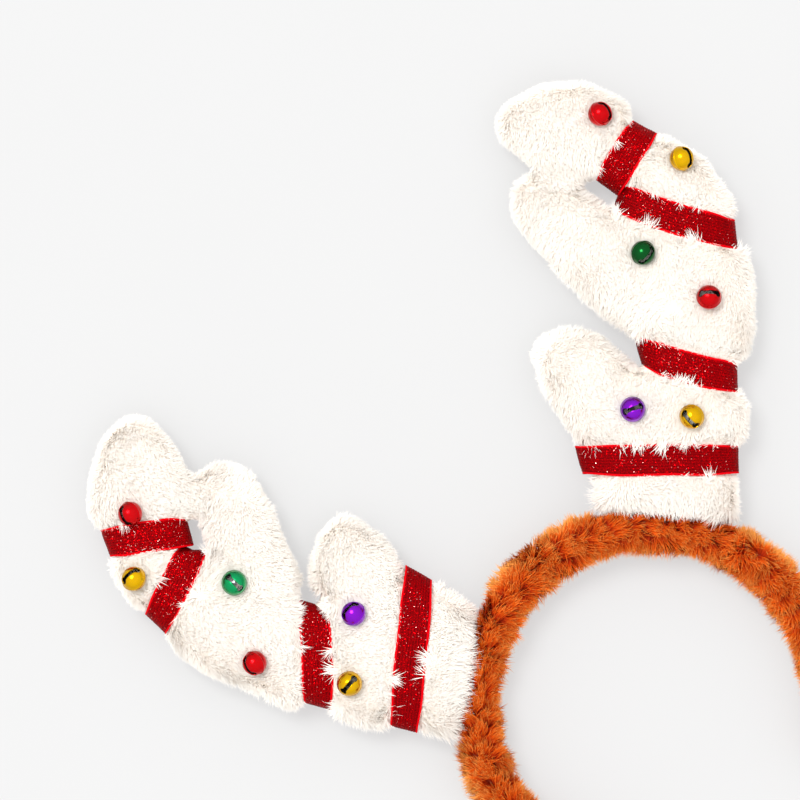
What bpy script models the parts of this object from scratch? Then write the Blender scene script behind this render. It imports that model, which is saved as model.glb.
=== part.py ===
"""Reindeer antler headband: a plush hairband, two stuffed antlers, glitter ribbons and jingle bells.

The headband lies on its side. +Z is up, +Y runs from the open end of the band to the antler tips,
and the origin is under the middle of the whole thing, on the surface that it lies on.
"""
import math
import random
from collections import namedtuple

import bmesh
import bpy
from mathutils import Matrix, Vector
from mathutils.bvhtree import BVHTree

MM = 0.001
GAP = 0.3 * MM                      # left between pieces that touch

# Band: a padded hairband covered in long brown plush
BAND_CENTRE = Vector((-5.8, -78.3, 0)) * MM   # middle of the head opening
BAND_RADIUS = 72.0 * MM             # from there to the middle of the padding
BAND_ARC = math.radians(112)        # round part on each side of the crown
BAND_LEG = 48 * MM                  # nearly straight leg past the round part
BAND_LEG_RADIUS = 260 * MM
BAND_HALF_DEPTH = 9.8 * MM          # half of the padding, across the band
BAND_HALF_HEIGHT = 12.6 * MM
BAND_MID_HEIGHT = 11.6 * MM         # less than half the height, so the underside lies flat
BAND_SIDES = 12
BAND_STEP = 10.3 * MM               # along the band, one row of locks to a step
BAND_END_ROUND = 11 * MM            # the ends close over this length
BAND_END_FLAT = 0.2 * MM            # the small flat at the very end comes this far short of it
BAND_SHOULDER = 0.25                # share of the end's length where one more section rounds it
BAND_END_HEIGHT = 0.35              # share of its height that the padding keeps at the very end
LOCK_HEIGHT = 3.0 * MM
LOCK_LEAN_ALONG = 2.2 * MM
LOCK_LEAN_ROUND = 1.0 * MM
SHORTEST_LOCK = 0.55                # as a share of the longest
LOCK_SEED = 11
UNDERSIDE = -0.45                   # faces that look down more than this carry no locks
LEVEL = 0.2                         # a face that tips from level by less than this leans along X

# Antlers: stuffed white plush, rooted on the outside of the band
ROOT_ANGLE = math.radians(42.2)     # from the crown to the middle of each root
ROOT_HALF_SPAN = math.radians(25)   # stretch of the band that the root covers
ROOT_FACING = -0.3                  # under a root, only faces that look inwards more than this have locks
MID_HEIGHT = 13.5 * MM              # height of the seam on the fullest stretch
FULLEST = 30 * MM
SAG_SHARE = 0.4                     # how far a thinner stretch comes down towards the surface
FULLNESS = 2.4                      # exponent of the superellipse that every section follows
BEAM_SIDES = 14
TINE_SIDES = 10
PLUSH_SOLVER = "MANIFOLD"           # at the forks the exact one leaves surfaces joined along an edge

# Each row is one section of a stuffed tube, in millimetres. Its two edges are given in the antler's
# own plane, by how far out they lie from the middle of the head opening and how far in towards the
# crown, and thickness is the depth of the stuffing there.
Section = namedtuple("Section", "place rim_out rim_in crook_out crook_in thickness")

RIGHT_BEAM = (
    Section("root", 73, -28, 74, 20, 19),
    Section("stub", 88, -30, 86, 29, 27),
    Section("base_ribbon", 102, -29, 97, 36, 25),
    Section("base_low", 111, -32, 108, 33, 29),
    Section("base_full", 122, -32, 121, 16, 30),
    Section("middle_ribbon", 135, -27, 143, 15.5, 24),
    Section("middle_low", 149, -31, 155, 23, 28),
    Section("middle_full", 168, -31, 175, 29, 30),
    Section("middle_high", 184, -28, 194, 30, 28),
    Section("beam_ribbon", 193.5, -22, 206, 31, 24),
    Section("wedge_low", 207, -19, 207, 32, 27),
    Section("wedge_high", 224, -6, 208, 32.5, 27),
    Section("tip_ribbon", 237, 19, 208.5, 33.5, 21),
    Section("tip_low", 246, 29, 212, 41, 24),
    Section("tip_full", 252, 46, 211, 53, 24),
    Section("tip_high", 250, 64, 216, 65, 21),
    Section("tip_round", 242, 76, 223, 76, 15),
    Section("tip_end", 236, 81, 229, 81, 6),
)
RIGHT_BASE_TINE = (
    Section("inside", 108, -8, 125, -7, 18),
    Section("root", 103, 20, 135, 9, 27),
    Section("full", 104, 39, 142, 22, 26),
    Section("high", 117, 49, 150, 33, 24),
    Section("round", 132, 57, 151, 46, 17),
    Section("end", 141, 60, 148, 55, 6),
)
RIGHT_MIDDLE_TINE = (
    Section("inside", 156, -9, 182, -7, 18),
    Section("root", 149, 15, 195, 13, 27),
    Section("full", 159, 35, 200, 28, 27),
    Section("high", 170, 47, 207, 41, 25),
    Section("slim", 180, 59, 209.5, 55, 22),
    Section("round", 188, 67.5, 213, 67, 16),
    Section("end", 196, 72, 207, 72.5, 7),
)
LEFT_BEAM = (
    Section("root", 72, -25, 75, 22, 19),
    Section("stub", 86, -28, 88, 30, 27),
    Section("base_ribbon", 98, -29, 103, 37, 25),
    Section("base_low", 110, -30, 114, 25, 29),
    Section("base_full", 121, -29, 129, 19, 30),
    Section("middle_ribbon", 134, -26, 144, 18, 24),
    Section("middle_low", 146, -28, 152, 23, 28),
    Section("middle_full", 165, -22, 167, 29, 30),
    Section("middle_high", 183, -20, 184, 29, 29),
    Section("middle_top", 195, -13, 191, 30, 27),
    Section("beam_ribbon", 205.5, -2, 195.5, 31.5, 23),
    Section("wedge_low", 217, 3, 196, 33, 25),
    Section("wedge_high", 227, 14, 196.5, 34.5, 25),
    Section("tip_ribbon", 232, 26, 197.5, 37, 21),
    Section("tip_low", 242, 38, 199, 45, 24),
    Section("tip_full", 243, 52, 202, 58, 24),
    Section("tip_high", 241, 67, 209, 69, 21),
    Section("tip_round", 235, 76, 218, 77, 15),
    Section("tip_end", 230, 80, 223, 80, 6),
)
LEFT_BASE_TINE = (
    Section("inside", 125, -18, 108, -15, 18),
    Section("root", 136, 3, 105, 8, 26),
    Section("full", 145, 22, 108, 31, 26),
    Section("high", 148, 36, 114, 44, 24),
    Section("round", 145, 48, 126, 51, 17),
    Section("end", 140, 53, 134, 54, 6),
)
LEFT_MIDDLE_TINE = (
    Section("inside", 180, -10, 150, -12, 18),
    Section("root", 188, 13, 147, 9, 27),
    Section("full", 191, 31, 151, 28, 27),
    Section("high", 197, 45, 161, 43, 25),
    Section("slim", 199.5, 55, 170.5, 57, 22),
    Section("round", 199.5, 61.5, 176, 64, 16),
    Section("end", 194.5, 66.5, 183, 67.5, 7),
)

# Ribbons: wound once round the beam at the sections of the same name, and pulled into the plush
RIBBON_WIDTH = 13 * MM
RIBBON_WALL = 1.0 * MM
RIBBON_SEGMENTS = 16
GROOVE_CLEARANCE = 5 * MM           # plush is drawn back this far outside a ribbon
Ribbon = namedtuple("Ribbon", "name place bow")   # bow in millimetres, towards the tip if positive
RIGHT_RIBBONS = (
    Ribbon("ribbon_right_base", "base_ribbon", 0),
    Ribbon("ribbon_right_middle", "middle_ribbon", 1.2),
    Ribbon("ribbon_right_beam", "beam_ribbon", 1.5),
    Ribbon("ribbon_right_tip", "tip_ribbon", -0.8),
)
LEFT_RIBBONS = (
    Ribbon("ribbon_left_base", "base_ribbon", 0),
    Ribbon("ribbon_left_middle", "middle_ribbon", 0.8),
    Ribbon("ribbon_left_beam", "beam_ribbon", 0.5),
    Ribbon("ribbon_left_tip", "tip_ribbon", -0.6),
)

# Jingle bells: pressed shells with a slot, a loop to sew them on by and a loose ball inside
BELL_RADIUS = 5.0 * MM
BELL_INNER_RADIUS = 4.4 * MM
BELL_SEGMENTS = 12
BELL_RINGS = 6
BELL_INNER_SEGMENTS = 8
BELL_INNER_RINGS = 4
SLOT_WIDTH = 1.1 * MM
SLOT_REACH = math.radians(46)       # from the pole to the round hole at each end of the slot
SLOT_HOLE_RADIUS = 1.0 * MM
SLOT_HOLE_START = 2.5 * MM          # from the middle of the bell, so that only the shell is cut
SLOT_HOLE_SIDES = 5
LOOP_RADIUS = 1.3 * MM
LOOP_WIRE = 0.4 * MM
LOOP_SEGMENTS = 6
LOOP_WIRE_SIDES = 4
LOOP_TURN = math.pi / 8
LOOP_DEPTH = 5.5 * MM               # middle of the loop, from the middle of the bell
BALL_RADIUS = 1.2 * MM
BALL_SEGMENTS = 6
BALL_RINGS = 4
BELL_PROUD = 1.6 * MM               # middle of a bell above the plush
SEAT_RADIUS = 6.1 * MM
SEAT_SEGMENTS = 8
SEAT_RINGS = 5
LOOP_HOLE_RADIUS = 2.1 * MM
LOOP_HOLE_DEPTH = 7.6 * MM
LOOP_HOLE_SIDES = 6

# Where each bell sits, in the antler's plane (millimetres), how far its slot leans from straight up
# and which way, and the line of the slot, both in degrees from outwards round to the crown side.
Bell = namedtuple("Bell", "place finish out inward lean lean_to slot_line")
RIGHT_BELLS = (
    Bell("tip", "red", 238.5, 38.9, 51, 306, 36),
    Bell("wedge", "gold", 222.8, 4.4, 46, 289, 19),
    Bell("middle_crook", "green", 183.2, 17.4, 33, 235, 145),
    Bell("middle_rim", "red", 167.1, -10.6, 25, 2, 94),
    Bell("base_crook", "purple", 119.3, 16.9, 3, 24, 114),
    Bell("base_rim", "gold", 118.1, -7.2, 25, 147, 46),
)
LEFT_BELLS = (
    Bell("tip", "red", 223.1, 40.2, 43, 325, 55),
    Bell("wedge", "gold", 217.2, 14.3, 35, 40, 130),
    Bell("middle_crook", "emerald", 176.5, 19.8, 3, 125, 34),
    Bell("middle_rim", "red", 162.7, -11.0, 51, 319, 49),
    Bell("base_crook", "purple", 126.4, 15.6, 44, 34, 124),
    Bell("base_rim", "gold", 123.2, -12.7, 6, 300, 121),
)

Antler = namedtuple("Antler", "name sign beam tines ribbons bells")
ANTLERS = (
    Antler("right", 1, RIGHT_BEAM, (RIGHT_BASE_TINE, RIGHT_MIDDLE_TINE), RIGHT_RIBBONS, RIGHT_BELLS),
    Antler("left", -1, LEFT_BEAM, (LEFT_BASE_TINE, LEFT_MIDDLE_TINE), LEFT_RIBBONS, LEFT_BELLS),
)

# Colours as linear RGB, with roughness and metallic
Finish = namedtuple("Finish", "colour roughness metallic")
FINISHES = {
    "brown_plush": Finish((0.46, 0.17, 0.045), 0.9, 0.0),
    "white_plush": Finish((0.93, 0.88, 0.82), 0.9, 0.0),
    "red_glitter_ribbon": Finish((0.45, 0.004, 0.012), 0.35, 0.3),
    "red": Finish((0.55, 0.005, 0.012), 0.18, 1.0),
    "gold": Finish((0.83, 0.5, 0.05), 0.18, 1.0),
    "green": Finish((0.01, 0.16, 0.025), 0.18, 1.0),
    "emerald": Finish((0.03, 0.4, 0.16), 0.18, 1.0),
    "purple": Finish((0.26, 0.03, 0.4), 0.18, 1.0),
    "steel": Finish((0.5, 0.5, 0.5), 0.3, 1.0),
}

# The surface that the headband lies on, as a block that trims what would reach below it
SURFACE_WIDTH = 600 * MM
SURFACE_DEPTH = 100 * MM

UP = Vector((0, 0, 1))


def clear_scene():
    for thing in list(bpy.data.objects):
        bpy.data.objects.remove(thing, do_unlink=True)


def new_collection(name):
    collection = bpy.data.collections.new(name)
    bpy.context.scene.collection.children.link(collection)
    return collection


def new_object(name, mesh, collection):
    thing = bpy.data.objects.new(name, mesh)
    collection.objects.link(thing)
    return thing


def mesh_of(name, shape):
    """Turns a bmesh into a mesh with its faces pointing out, and frees it."""
    bmesh.ops.recalc_face_normals(shape, faces=shape.faces)
    mesh = bpy.data.meshes.new(name)
    shape.to_mesh(mesh)
    shape.free()
    return mesh


def as_cutter(thing):
    thing.hide_render = True
    thing.display_type = "WIRE"
    return thing


def add_boolean(thing, tool, operation, solver="EXACT"):
    cut = thing.modifiers.new(operation.lower() + "_" + tool.name, "BOOLEAN")
    cut.operation = operation
    cut.solver = solver
    cut.object = tool


def settle(thing):
    """Replaces an object's mesh with its shape after its modifiers, which are then dropped."""
    bpy.context.view_layer.update()
    seen = thing.evaluated_get(bpy.context.evaluated_depsgraph_get())
    mesh = bpy.data.meshes.new_from_object(seen)
    thing.modifiers.clear()
    thing.data = mesh
    return thing


def paint(thing, finish_name):
    finish = FINISHES[finish_name]
    material = bpy.data.materials.new(thing.name + "_finish")
    material.use_nodes = True
    surface = material.node_tree.nodes["Principled BSDF"]
    surface.inputs["Base Color"].default_value = (*finish.colour, 1)
    surface.inputs["Roughness"].default_value = finish.roughness
    surface.inputs["Metallic"].default_value = finish.metallic
    thing.data.materials.clear()
    thing.data.materials.append(material)


def superellipse(angle, fullness=FULLNESS):
    """One point of a rounded section that is 2 wide and 2 thick."""
    across, up = math.cos(angle), math.sin(angle)
    power = 2 / fullness
    return (math.copysign(abs(across) ** power, across), math.copysign(abs(up) ** power, up))


def tube_from_rings(name, rings, closed=False):
    """Skins a run of rings with the same number of points, and closes its ends with flat caps."""
    shape = bmesh.new()
    rows = [[shape.verts.new(point) for point in ring] for ring in rings]
    pairs = list(zip(rows, rows[1:] + rows[:1])) if closed else list(zip(rows, rows[1:]))
    for one, other in pairs:
        for k in range(len(one)):
            n = (k + 1) % len(one)
            shape.faces.new((one[k], one[n], other[n], other[k]))
    if not closed:
        shape.faces.new(rows[0])
        shape.faces.new(rows[-1])
    return mesh_of(name, shape)


# Band

def band_point(travel):
    """Middle of the padding at a distance along the band from the crown, and the way outwards."""
    side = math.copysign(1, travel)
    distance = abs(travel)
    round_length = BAND_RADIUS * BAND_ARC
    if distance <= round_length:
        angle = distance / BAND_RADIUS
        place = Vector((math.sin(angle), math.cos(angle), 0)) * BAND_RADIUS
    else:
        angle = BAND_ARC + (distance - round_length) / BAND_LEG_RADIUS
        bend = Vector((math.sin(BAND_ARC), math.cos(BAND_ARC), 0)) * (BAND_RADIUS - BAND_LEG_RADIUS)
        place = bend + Vector((math.sin(angle), math.cos(angle), 0)) * BAND_LEG_RADIUS
    outward = Vector((math.sin(angle) * side, math.cos(angle), 0))
    return BAND_CENTRE + Vector((place.x * side, place.y, 0)), outward


def band_rings(grow, flat):
    """Sections of the padding from one end of the band to the other."""
    half_length = BAND_RADIUS * BAND_ARC + BAND_LEG
    steps = 2 * round(half_length / BAND_STEP)
    travels = [half_length * (2 * k / steps - 1) for k in range(1, steps)]
    ends = [half_length - BAND_END_FLAT, half_length - BAND_SHOULDER * BAND_END_ROUND]
    travels = [-ends[0], -ends[1]] + travels + [ends[1], ends[0]]
    rings = []
    for travel in travels:
        middle, outward = band_point(travel)
        to_end = min(1, (half_length - abs(travel)) / BAND_END_ROUND)
        share = math.sqrt(1 - (1 - to_end) ** 2)
        ring = []
        for k in range(BAND_SIDES):
            out, up = superellipse(2 * math.pi * (k + 0.5) / BAND_SIDES)
            across = outward * out * (BAND_HALF_DEPTH * share + grow)
            half_height = BAND_HALF_HEIGHT * (BAND_END_HEIGHT + (1 - BAND_END_HEIGHT) * share)
            height = BAND_MID_HEIGHT + up * (half_height + grow)
            ring.append(middle + across + UP * (max(height, 0) if flat else height))
        rings.append(ring)
    return rings


def under_an_antler(place, facing):
    """True where the outer side of the band is covered by the root of an antler."""
    spoke = place - BAND_CENTRE
    angle = abs(math.atan2(spoke.x, spoke.y))
    spoke.z = 0
    return abs(angle - ROOT_ANGLE) < ROOT_HALF_SPAN and facing.dot(spoke.normalized()) > ROOT_FACING


def make_band(collection):
    """The padding, with each face of its skin drawn out into a lock of plush that leans its own way."""
    draw = random.Random(LOCK_SEED)
    mesh = tube_from_rings("band", band_rings(0, True))
    shape = bmesh.new()
    shape.from_mesh(mesh)
    for face in [f for f in shape.faces if len(f.verts) == 4]:
        middle, facing = face.calc_center_median(), face.normal.copy()
        lies_under = facing.z < UNDERSIDE or middle.z < LOCK_HEIGHT
        if lies_under or under_an_antler(middle, facing):
            continue
        along = facing.cross(UP)
        along = along.normalized() if along.length > LEVEL else Vector((1, 0, 0))
        around = facing.cross(along)
        lean = along * draw.uniform(-1, 1) * LOCK_LEAN_ALONG + around * draw.uniform(-1, 1) * LOCK_LEAN_ROUND
        lift = facing * LOCK_HEIGHT * draw.uniform(SHORTEST_LOCK, 1)
        tip = bmesh.ops.poke(shape, faces=[face])["verts"][0]
        tip.co = middle + lift + lean
    band = new_object("band", mesh_of("band", shape), collection)
    bpy.data.meshes.remove(mesh)
    return band


# Antlers

def plane_direction(sign, degrees_or_pair):
    """A direction in an antler's plane, from degrees round from outwards or from an (out, in) pair."""
    if isinstance(degrees_or_pair, tuple):
        out, inward = degrees_or_pair
    else:
        out = math.cos(math.radians(degrees_or_pair))
        inward = math.sin(math.radians(degrees_or_pair))
    sine, cosine = math.sin(ROOT_ANGLE), math.cos(ROOT_ANGLE)
    return Vector((sign * (out * sine - inward * cosine), out * cosine + inward * sine, 0))


def plane_point(sign, out, inward):
    return BAND_CENTRE + plane_direction(sign, (out, inward)) * MM


def section_frame(sign, row):
    """Middle of a section, the way from its rim edge to its crook edge, half width, half thickness."""
    rim = plane_point(sign, row.rim_out, row.rim_in)
    crook = plane_point(sign, row.crook_out, row.crook_in)
    half_thickness = row.thickness * MM / 2
    middle = (rim + crook) / 2
    middle.z = MID_HEIGHT - SAG_SHARE * (FULLEST / 2 - half_thickness)
    return middle, (crook - rim).normalized(), (crook - rim).length / 2, half_thickness


def stuffed_tube(name, sign, rows, sides, collection):
    rings = []
    for row in rows:
        middle, across, half_width, half_thickness = section_frame(sign, row)
        ring = []
        for k in range(sides):
            x, z = superellipse(2 * math.pi * k / sides)
            ring.append(middle + across * x * half_width + UP * z * half_thickness)
        rings.append(ring)
    return new_object(name, tube_from_rings(name, rings), collection)


def named_row(rows, place):
    return next(row for row in rows if row.place == place)


def ribbon_loop(sign, row, bow, inset, shift):
    """One edge of a ribbon: a closed loop round the beam, inset from the ribbon's outer face."""
    middle, across, half_width, half_thickness = section_frame(sign, row)
    tipward = UP.cross(across) * sign
    loop = []
    for k in range(RIBBON_SEGMENTS):
        x, z = superellipse(2 * math.pi * k / RIBBON_SEGMENTS)
        drift = shift + bow * MM * (1 - x * x)
        side = across * x * (half_width - inset)
        loop.append(middle + side + UP * z * (half_thickness - inset) + tipward * drift)
    return loop


def ribbon_wall(name, sign, row, bow, outer_inset, inner_inset, width, collection):
    """A closed band of cloth, or the same shape with other insets as a cutter."""
    half = width / 2
    rings = [
        ribbon_loop(sign, row, bow, outer_inset, -half),
        ribbon_loop(sign, row, bow, outer_inset, half),
        ribbon_loop(sign, row, bow, inner_inset, half),
        ribbon_loop(sign, row, bow, inner_inset, -half),
    ]
    return new_object(name, tube_from_rings(name, rings, closed=True), collection)


def make_ribbons(antler, parts, cutters, plush):
    """Four ribbons to an antler, the grooves they sit in, and the crossing at the fork."""
    made = {}
    for ribbon in antler.ribbons:
        row = named_row(antler.beam, ribbon.place)
        made[ribbon.place] = ribbon_wall(
            ribbon.name, antler.sign, row, ribbon.bow, 0, RIBBON_WALL, RIBBON_WIDTH, parts)
        groove = as_cutter(ribbon_wall(
            ribbon.name + "_groove", antler.sign, row, ribbon.bow, -GROOVE_CLEARANCE,
            RIBBON_WALL + GAP, RIBBON_WIDTH + 2 * GAP, cutters))
        add_boolean(plush, groove, "DIFFERENCE", PLUSH_SOLVER)
    over = next(ribbon for ribbon in antler.ribbons if ribbon.place == "tip_ribbon")
    row = named_row(antler.beam, over.place)
    half = RIBBON_WIDTH / 2 + GAP
    block_rings = [ribbon_loop(antler.sign, row, over.bow, -GAP, shift) for shift in (-half, half)]
    block_name = over.name + "_block"
    block = as_cutter(new_object(block_name, tube_from_rings(block_name, block_rings), cutters))
    add_boolean(made["beam_ribbon"], block, "DIFFERENCE")
    for piece in made.values():
        paint(piece, "red_glitter_ribbon")


def make_antler(antler, parts, cutters, band_cutter):
    """Beam and tines in one stuffed skin, cut back where it meets the band."""
    name = "antler_" + antler.name
    plush = stuffed_tube(name, antler.sign, antler.beam, BEAM_SIDES, parts)
    tines = []
    for number, rows in enumerate(antler.tines, 1):
        tine = stuffed_tube(name + "_tine_" + str(number), antler.sign, rows, TINE_SIDES, cutters)
        tines.append(tine)
        add_boolean(plush, tine, "UNION", PLUSH_SOLVER)
    settle(plush)
    for tine in tines:
        bpy.data.objects.remove(tine, do_unlink=True)
    paint(plush, "white_plush")
    add_boolean(plush, band_cutter, "DIFFERENCE", PLUSH_SOLVER)
    return plush


# Bells

def ball(name, radius, segments, rings, collection):
    """A sphere with its poles along Y and the middle of a row of faces at +Z, where a slot can run."""
    shape = bmesh.new()
    bmesh.ops.create_uvsphere(shape, u_segments=segments, v_segments=rings, radius=radius)
    turn = Matrix.Rotation(math.pi / segments, 4, "Y") @ Matrix.Rotation(math.pi / 2, 4, "X")
    bmesh.ops.transform(shape, matrix=turn, verts=shape.verts)
    return new_object(name, mesh_of(name, shape), collection)


def rod(name, radius, start, end, sides, collection):
    """A plain cylinder from one point to another."""
    shape = bmesh.new()
    bmesh.ops.create_cone(
        shape, cap_ends=True, segments=sides, radius1=radius, radius2=radius, depth=(end - start).length)
    turn = (end - start).to_track_quat("Z", "Y").to_matrix().to_4x4()
    bmesh.ops.transform(shape, matrix=Matrix.Translation((start + end) / 2) @ turn, verts=shape.verts)
    return new_object(name, mesh_of(name, shape), collection)


def make_bell_pattern(cutters):
    """One bell at the origin, with its slot round +Z along Y and its loop at -Z."""
    shell = ball("bell_pattern", BELL_RADIUS, BELL_SEGMENTS, BELL_RINGS, cutters)
    hollow = ball("bell_hollow", BELL_INNER_RADIUS, BELL_INNER_SEGMENTS, BELL_INNER_RINGS, cutters)
    bpy.ops.mesh.primitive_cube_add(size=1, location=(0, 0, BELL_RADIUS))
    slot = bpy.context.object
    slot.name = "bell_slot"
    reach = BELL_RADIUS * math.sin(SLOT_REACH)
    drop = BELL_RADIUS * (1 - math.cos(SLOT_REACH))
    slot.scale = (SLOT_WIDTH, 2 * reach, 2 * drop)
    tools = [hollow, slot]
    for side in (-1, 1):
        way = Vector((0, side * math.sin(SLOT_REACH), math.cos(SLOT_REACH)))
        start, end = way * SLOT_HOLE_START, way * 2 * BELL_RADIUS
        hole = rod("bell_hole", SLOT_HOLE_RADIUS, start, end, SLOT_HOLE_SIDES, cutters)
        tools.append(hole)
    for tool in tools:
        add_boolean(shell, tool, "DIFFERENCE")
    bpy.ops.mesh.primitive_torus_add(
        major_radius=LOOP_RADIUS, minor_radius=LOOP_WIRE,
        major_segments=LOOP_SEGMENTS, minor_segments=LOOP_WIRE_SIDES,
        location=(0, 0, -LOOP_DEPTH), rotation=(math.pi / 2, 0, LOOP_TURN))
    loop = bpy.context.object
    loop.name = "bell_loop"
    add_boolean(shell, loop, "UNION")
    settle(shell)
    for tool in tools + [loop]:
        bpy.data.objects.remove(tool, do_unlink=True)
    pattern = shell.data
    bpy.data.objects.remove(shell, do_unlink=True)
    return pattern


def bell_pose(antler, bell, centre):
    axis = plane_direction(antler.sign, bell.lean_to) * math.sin(math.radians(bell.lean))
    axis += UP * math.cos(math.radians(bell.lean))
    line = plane_direction(antler.sign, bell.slot_line)
    line = (line - axis * line.dot(axis)).normalized()
    turn = Matrix((line.cross(axis), line, axis)).transposed().to_4x4()
    return Matrix.Translation(centre) @ turn


def make_bells(antler, pattern, plush, parts, cutters):
    """Six bells to an antler, each let into the plush it is sewn to, with its ball lying inside."""
    skin = BVHTree.FromObject(plush, bpy.context.evaluated_depsgraph_get())
    for bell in antler.bells:
        above = plane_point(antler.sign, bell.out, bell.inward) + UP
        surface = skin.ray_cast(above, -UP)[0]
        pose = bell_pose(antler, bell, surface + UP * BELL_PROUD)
        name = "bell_" + antler.name + "_" + bell.place
        shell = new_object(name, pattern.copy(), parts)
        shell.matrix_world = pose
        paint(shell, bell.finish)
        pellet_name = "pellet_" + antler.name + "_" + bell.place
        pellet = ball(pellet_name, BALL_RADIUS, BALL_SEGMENTS, BALL_RINGS, parts)
        lowest = BELL_INNER_RADIUS * math.cos(math.pi / BELL_INNER_SEGMENTS) - GAP - BALL_RADIUS
        pellet.location = pose.translation - UP * lowest
        paint(pellet, "steel")
        seat = as_cutter(ball(name + "_seat", SEAT_RADIUS, SEAT_SEGMENTS, SEAT_RINGS, cutters))
        seat.matrix_world = pose
        add_boolean(plush, seat, "DIFFERENCE", PLUSH_SOLVER)
        hole_end = Vector((0, 0, -LOOP_HOLE_DEPTH))
        hole = as_cutter(rod(
            name + "_loop_hole", LOOP_HOLE_RADIUS, Vector(), hole_end, LOOP_HOLE_SIDES, cutters))
        hole.matrix_world = pose
        add_boolean(plush, hole, "DIFFERENCE", PLUSH_SOLVER)


def main():
    clear_scene()
    parts = new_collection("reindeer_antler_headband")
    cutters = new_collection("cutters")
    band = make_band(parts)
    paint(band, "brown_plush")
    band_cutter = as_cutter(new_object(
        "band_clearance", tube_from_rings("band_clearance", band_rings(GAP, False)), cutters))
    bpy.ops.mesh.primitive_cube_add(size=1, location=(0, 0, -SURFACE_DEPTH / 2))
    surface = as_cutter(bpy.context.object)
    surface.name = "surface_it_lies_on"
    surface.scale = (SURFACE_WIDTH, SURFACE_WIDTH, SURFACE_DEPTH)
    pattern = make_bell_pattern(cutters)
    for antler in ANTLERS:
        plush = make_antler(antler, parts, cutters, band_cutter)
        make_bells(antler, pattern, plush, parts, cutters)
        make_ribbons(antler, parts, cutters, plush)
        add_boolean(plush, surface, "DIFFERENCE", PLUSH_SOLVER)
    bpy.data.meshes.remove(pattern)


main()
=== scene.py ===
"""Plush reindeer antler headband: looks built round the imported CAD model.

It is laid out as a Blender add-on and run as a script. Lengths in the tables are in millimetres,
and everything that goes into Blender is in metres.
"""

import math
from typing import NamedTuple

import bmesh
import bpy
import numpy as np
from bpy.props import FloatProperty, FloatVectorProperty, IntProperty, PointerProperty
from mathutils import Matrix, Vector, noise
from mathutils.bvhtree import BVHTree


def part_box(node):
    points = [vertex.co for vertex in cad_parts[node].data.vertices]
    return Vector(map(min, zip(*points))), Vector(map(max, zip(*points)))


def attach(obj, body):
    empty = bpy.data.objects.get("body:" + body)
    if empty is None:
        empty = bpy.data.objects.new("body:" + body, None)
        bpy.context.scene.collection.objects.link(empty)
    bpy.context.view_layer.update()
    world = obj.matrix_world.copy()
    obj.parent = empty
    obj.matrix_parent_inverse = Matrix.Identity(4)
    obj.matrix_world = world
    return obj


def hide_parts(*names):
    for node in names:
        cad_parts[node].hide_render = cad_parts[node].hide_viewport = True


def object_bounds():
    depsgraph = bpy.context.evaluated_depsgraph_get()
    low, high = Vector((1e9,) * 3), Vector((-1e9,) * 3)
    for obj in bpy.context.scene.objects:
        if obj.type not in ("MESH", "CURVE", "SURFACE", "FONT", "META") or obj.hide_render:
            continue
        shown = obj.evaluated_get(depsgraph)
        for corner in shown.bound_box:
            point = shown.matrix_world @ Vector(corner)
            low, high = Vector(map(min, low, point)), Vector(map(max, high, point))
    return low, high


bl_info = {
    "name": "Reindeer Antler Headband",
    "version": (1, 0, 0),
    "blender": (4, 5, 0),
    "location": "3D View > Sidebar > Headband",
    "description": "Builds a plush antler headband with glitter ribbons and jingle bells",
    "category": "Add Mesh",
}

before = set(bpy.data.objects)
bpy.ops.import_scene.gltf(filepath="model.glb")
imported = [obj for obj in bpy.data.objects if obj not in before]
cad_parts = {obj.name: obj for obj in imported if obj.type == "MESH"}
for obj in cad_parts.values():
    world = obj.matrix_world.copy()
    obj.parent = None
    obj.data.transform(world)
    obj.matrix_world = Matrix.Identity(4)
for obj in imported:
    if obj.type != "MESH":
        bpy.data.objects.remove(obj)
cad_low, cad_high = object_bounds()

MM = 0.001
UP = Vector((0, 0, 1))

# Camera, straight above the surface and turned as the photograph is
VIEW_CENTRE = Vector((-10.6, 82.8, 0)) * MM
VIEW_HEIGHT = 2291 * MM
VIEW_TURN = math.radians(-38)
VIEW_LENS = 250
SENSOR = 36
KEY_WAY = Vector((-0.055, 0.45, 0.89))

# Band
BAND_CENTRE = Vector((-5.8, -78.3, 0)) * MM
BAND_RADIUS = 72 * MM
BAND_ARC = math.radians(112)
BAND_LEG = 48 * MM
BAND_LEG_RADIUS = 260 * MM
BAND_HALF_DEPTH = 9.8 * MM
BAND_HALF_HEIGHT = 12.6 * MM
BAND_MID_HEIGHT = 11.6 * MM
BAND_END_ROUND = 11 * MM

# Antlers, in the plane that each antler lies in: out from the band's middle, and in across the band
ROOT_ANGLE = math.radians(42.2)
MID_HEIGHT = 13.5
FULLEST = 30
SAG_SHARE = 0.4
FULLNESS = 2.4
PILE_UPTURN = 0.8
NAP_SEED = 7
OPEN_INSET = 1.2 * MM
RIBBON_INSET = 1.5 * MM
ROOT_NEAR, ROOT_FAR = 84 * MM, 94 * MM

# Ribbons
RIBBON_WIDTH = 13 * MM
RIBBON_WALL = 1.0 * MM
RIBBON_AROUND = 140
RIBBON_ROWS = 9
WEAVE_DEPTH = 0.1 * MM
END_NARROWING = 0.12
CROSSING_DEPTH = 1.9 * MM
LOWEST = 0.2 * MM

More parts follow.
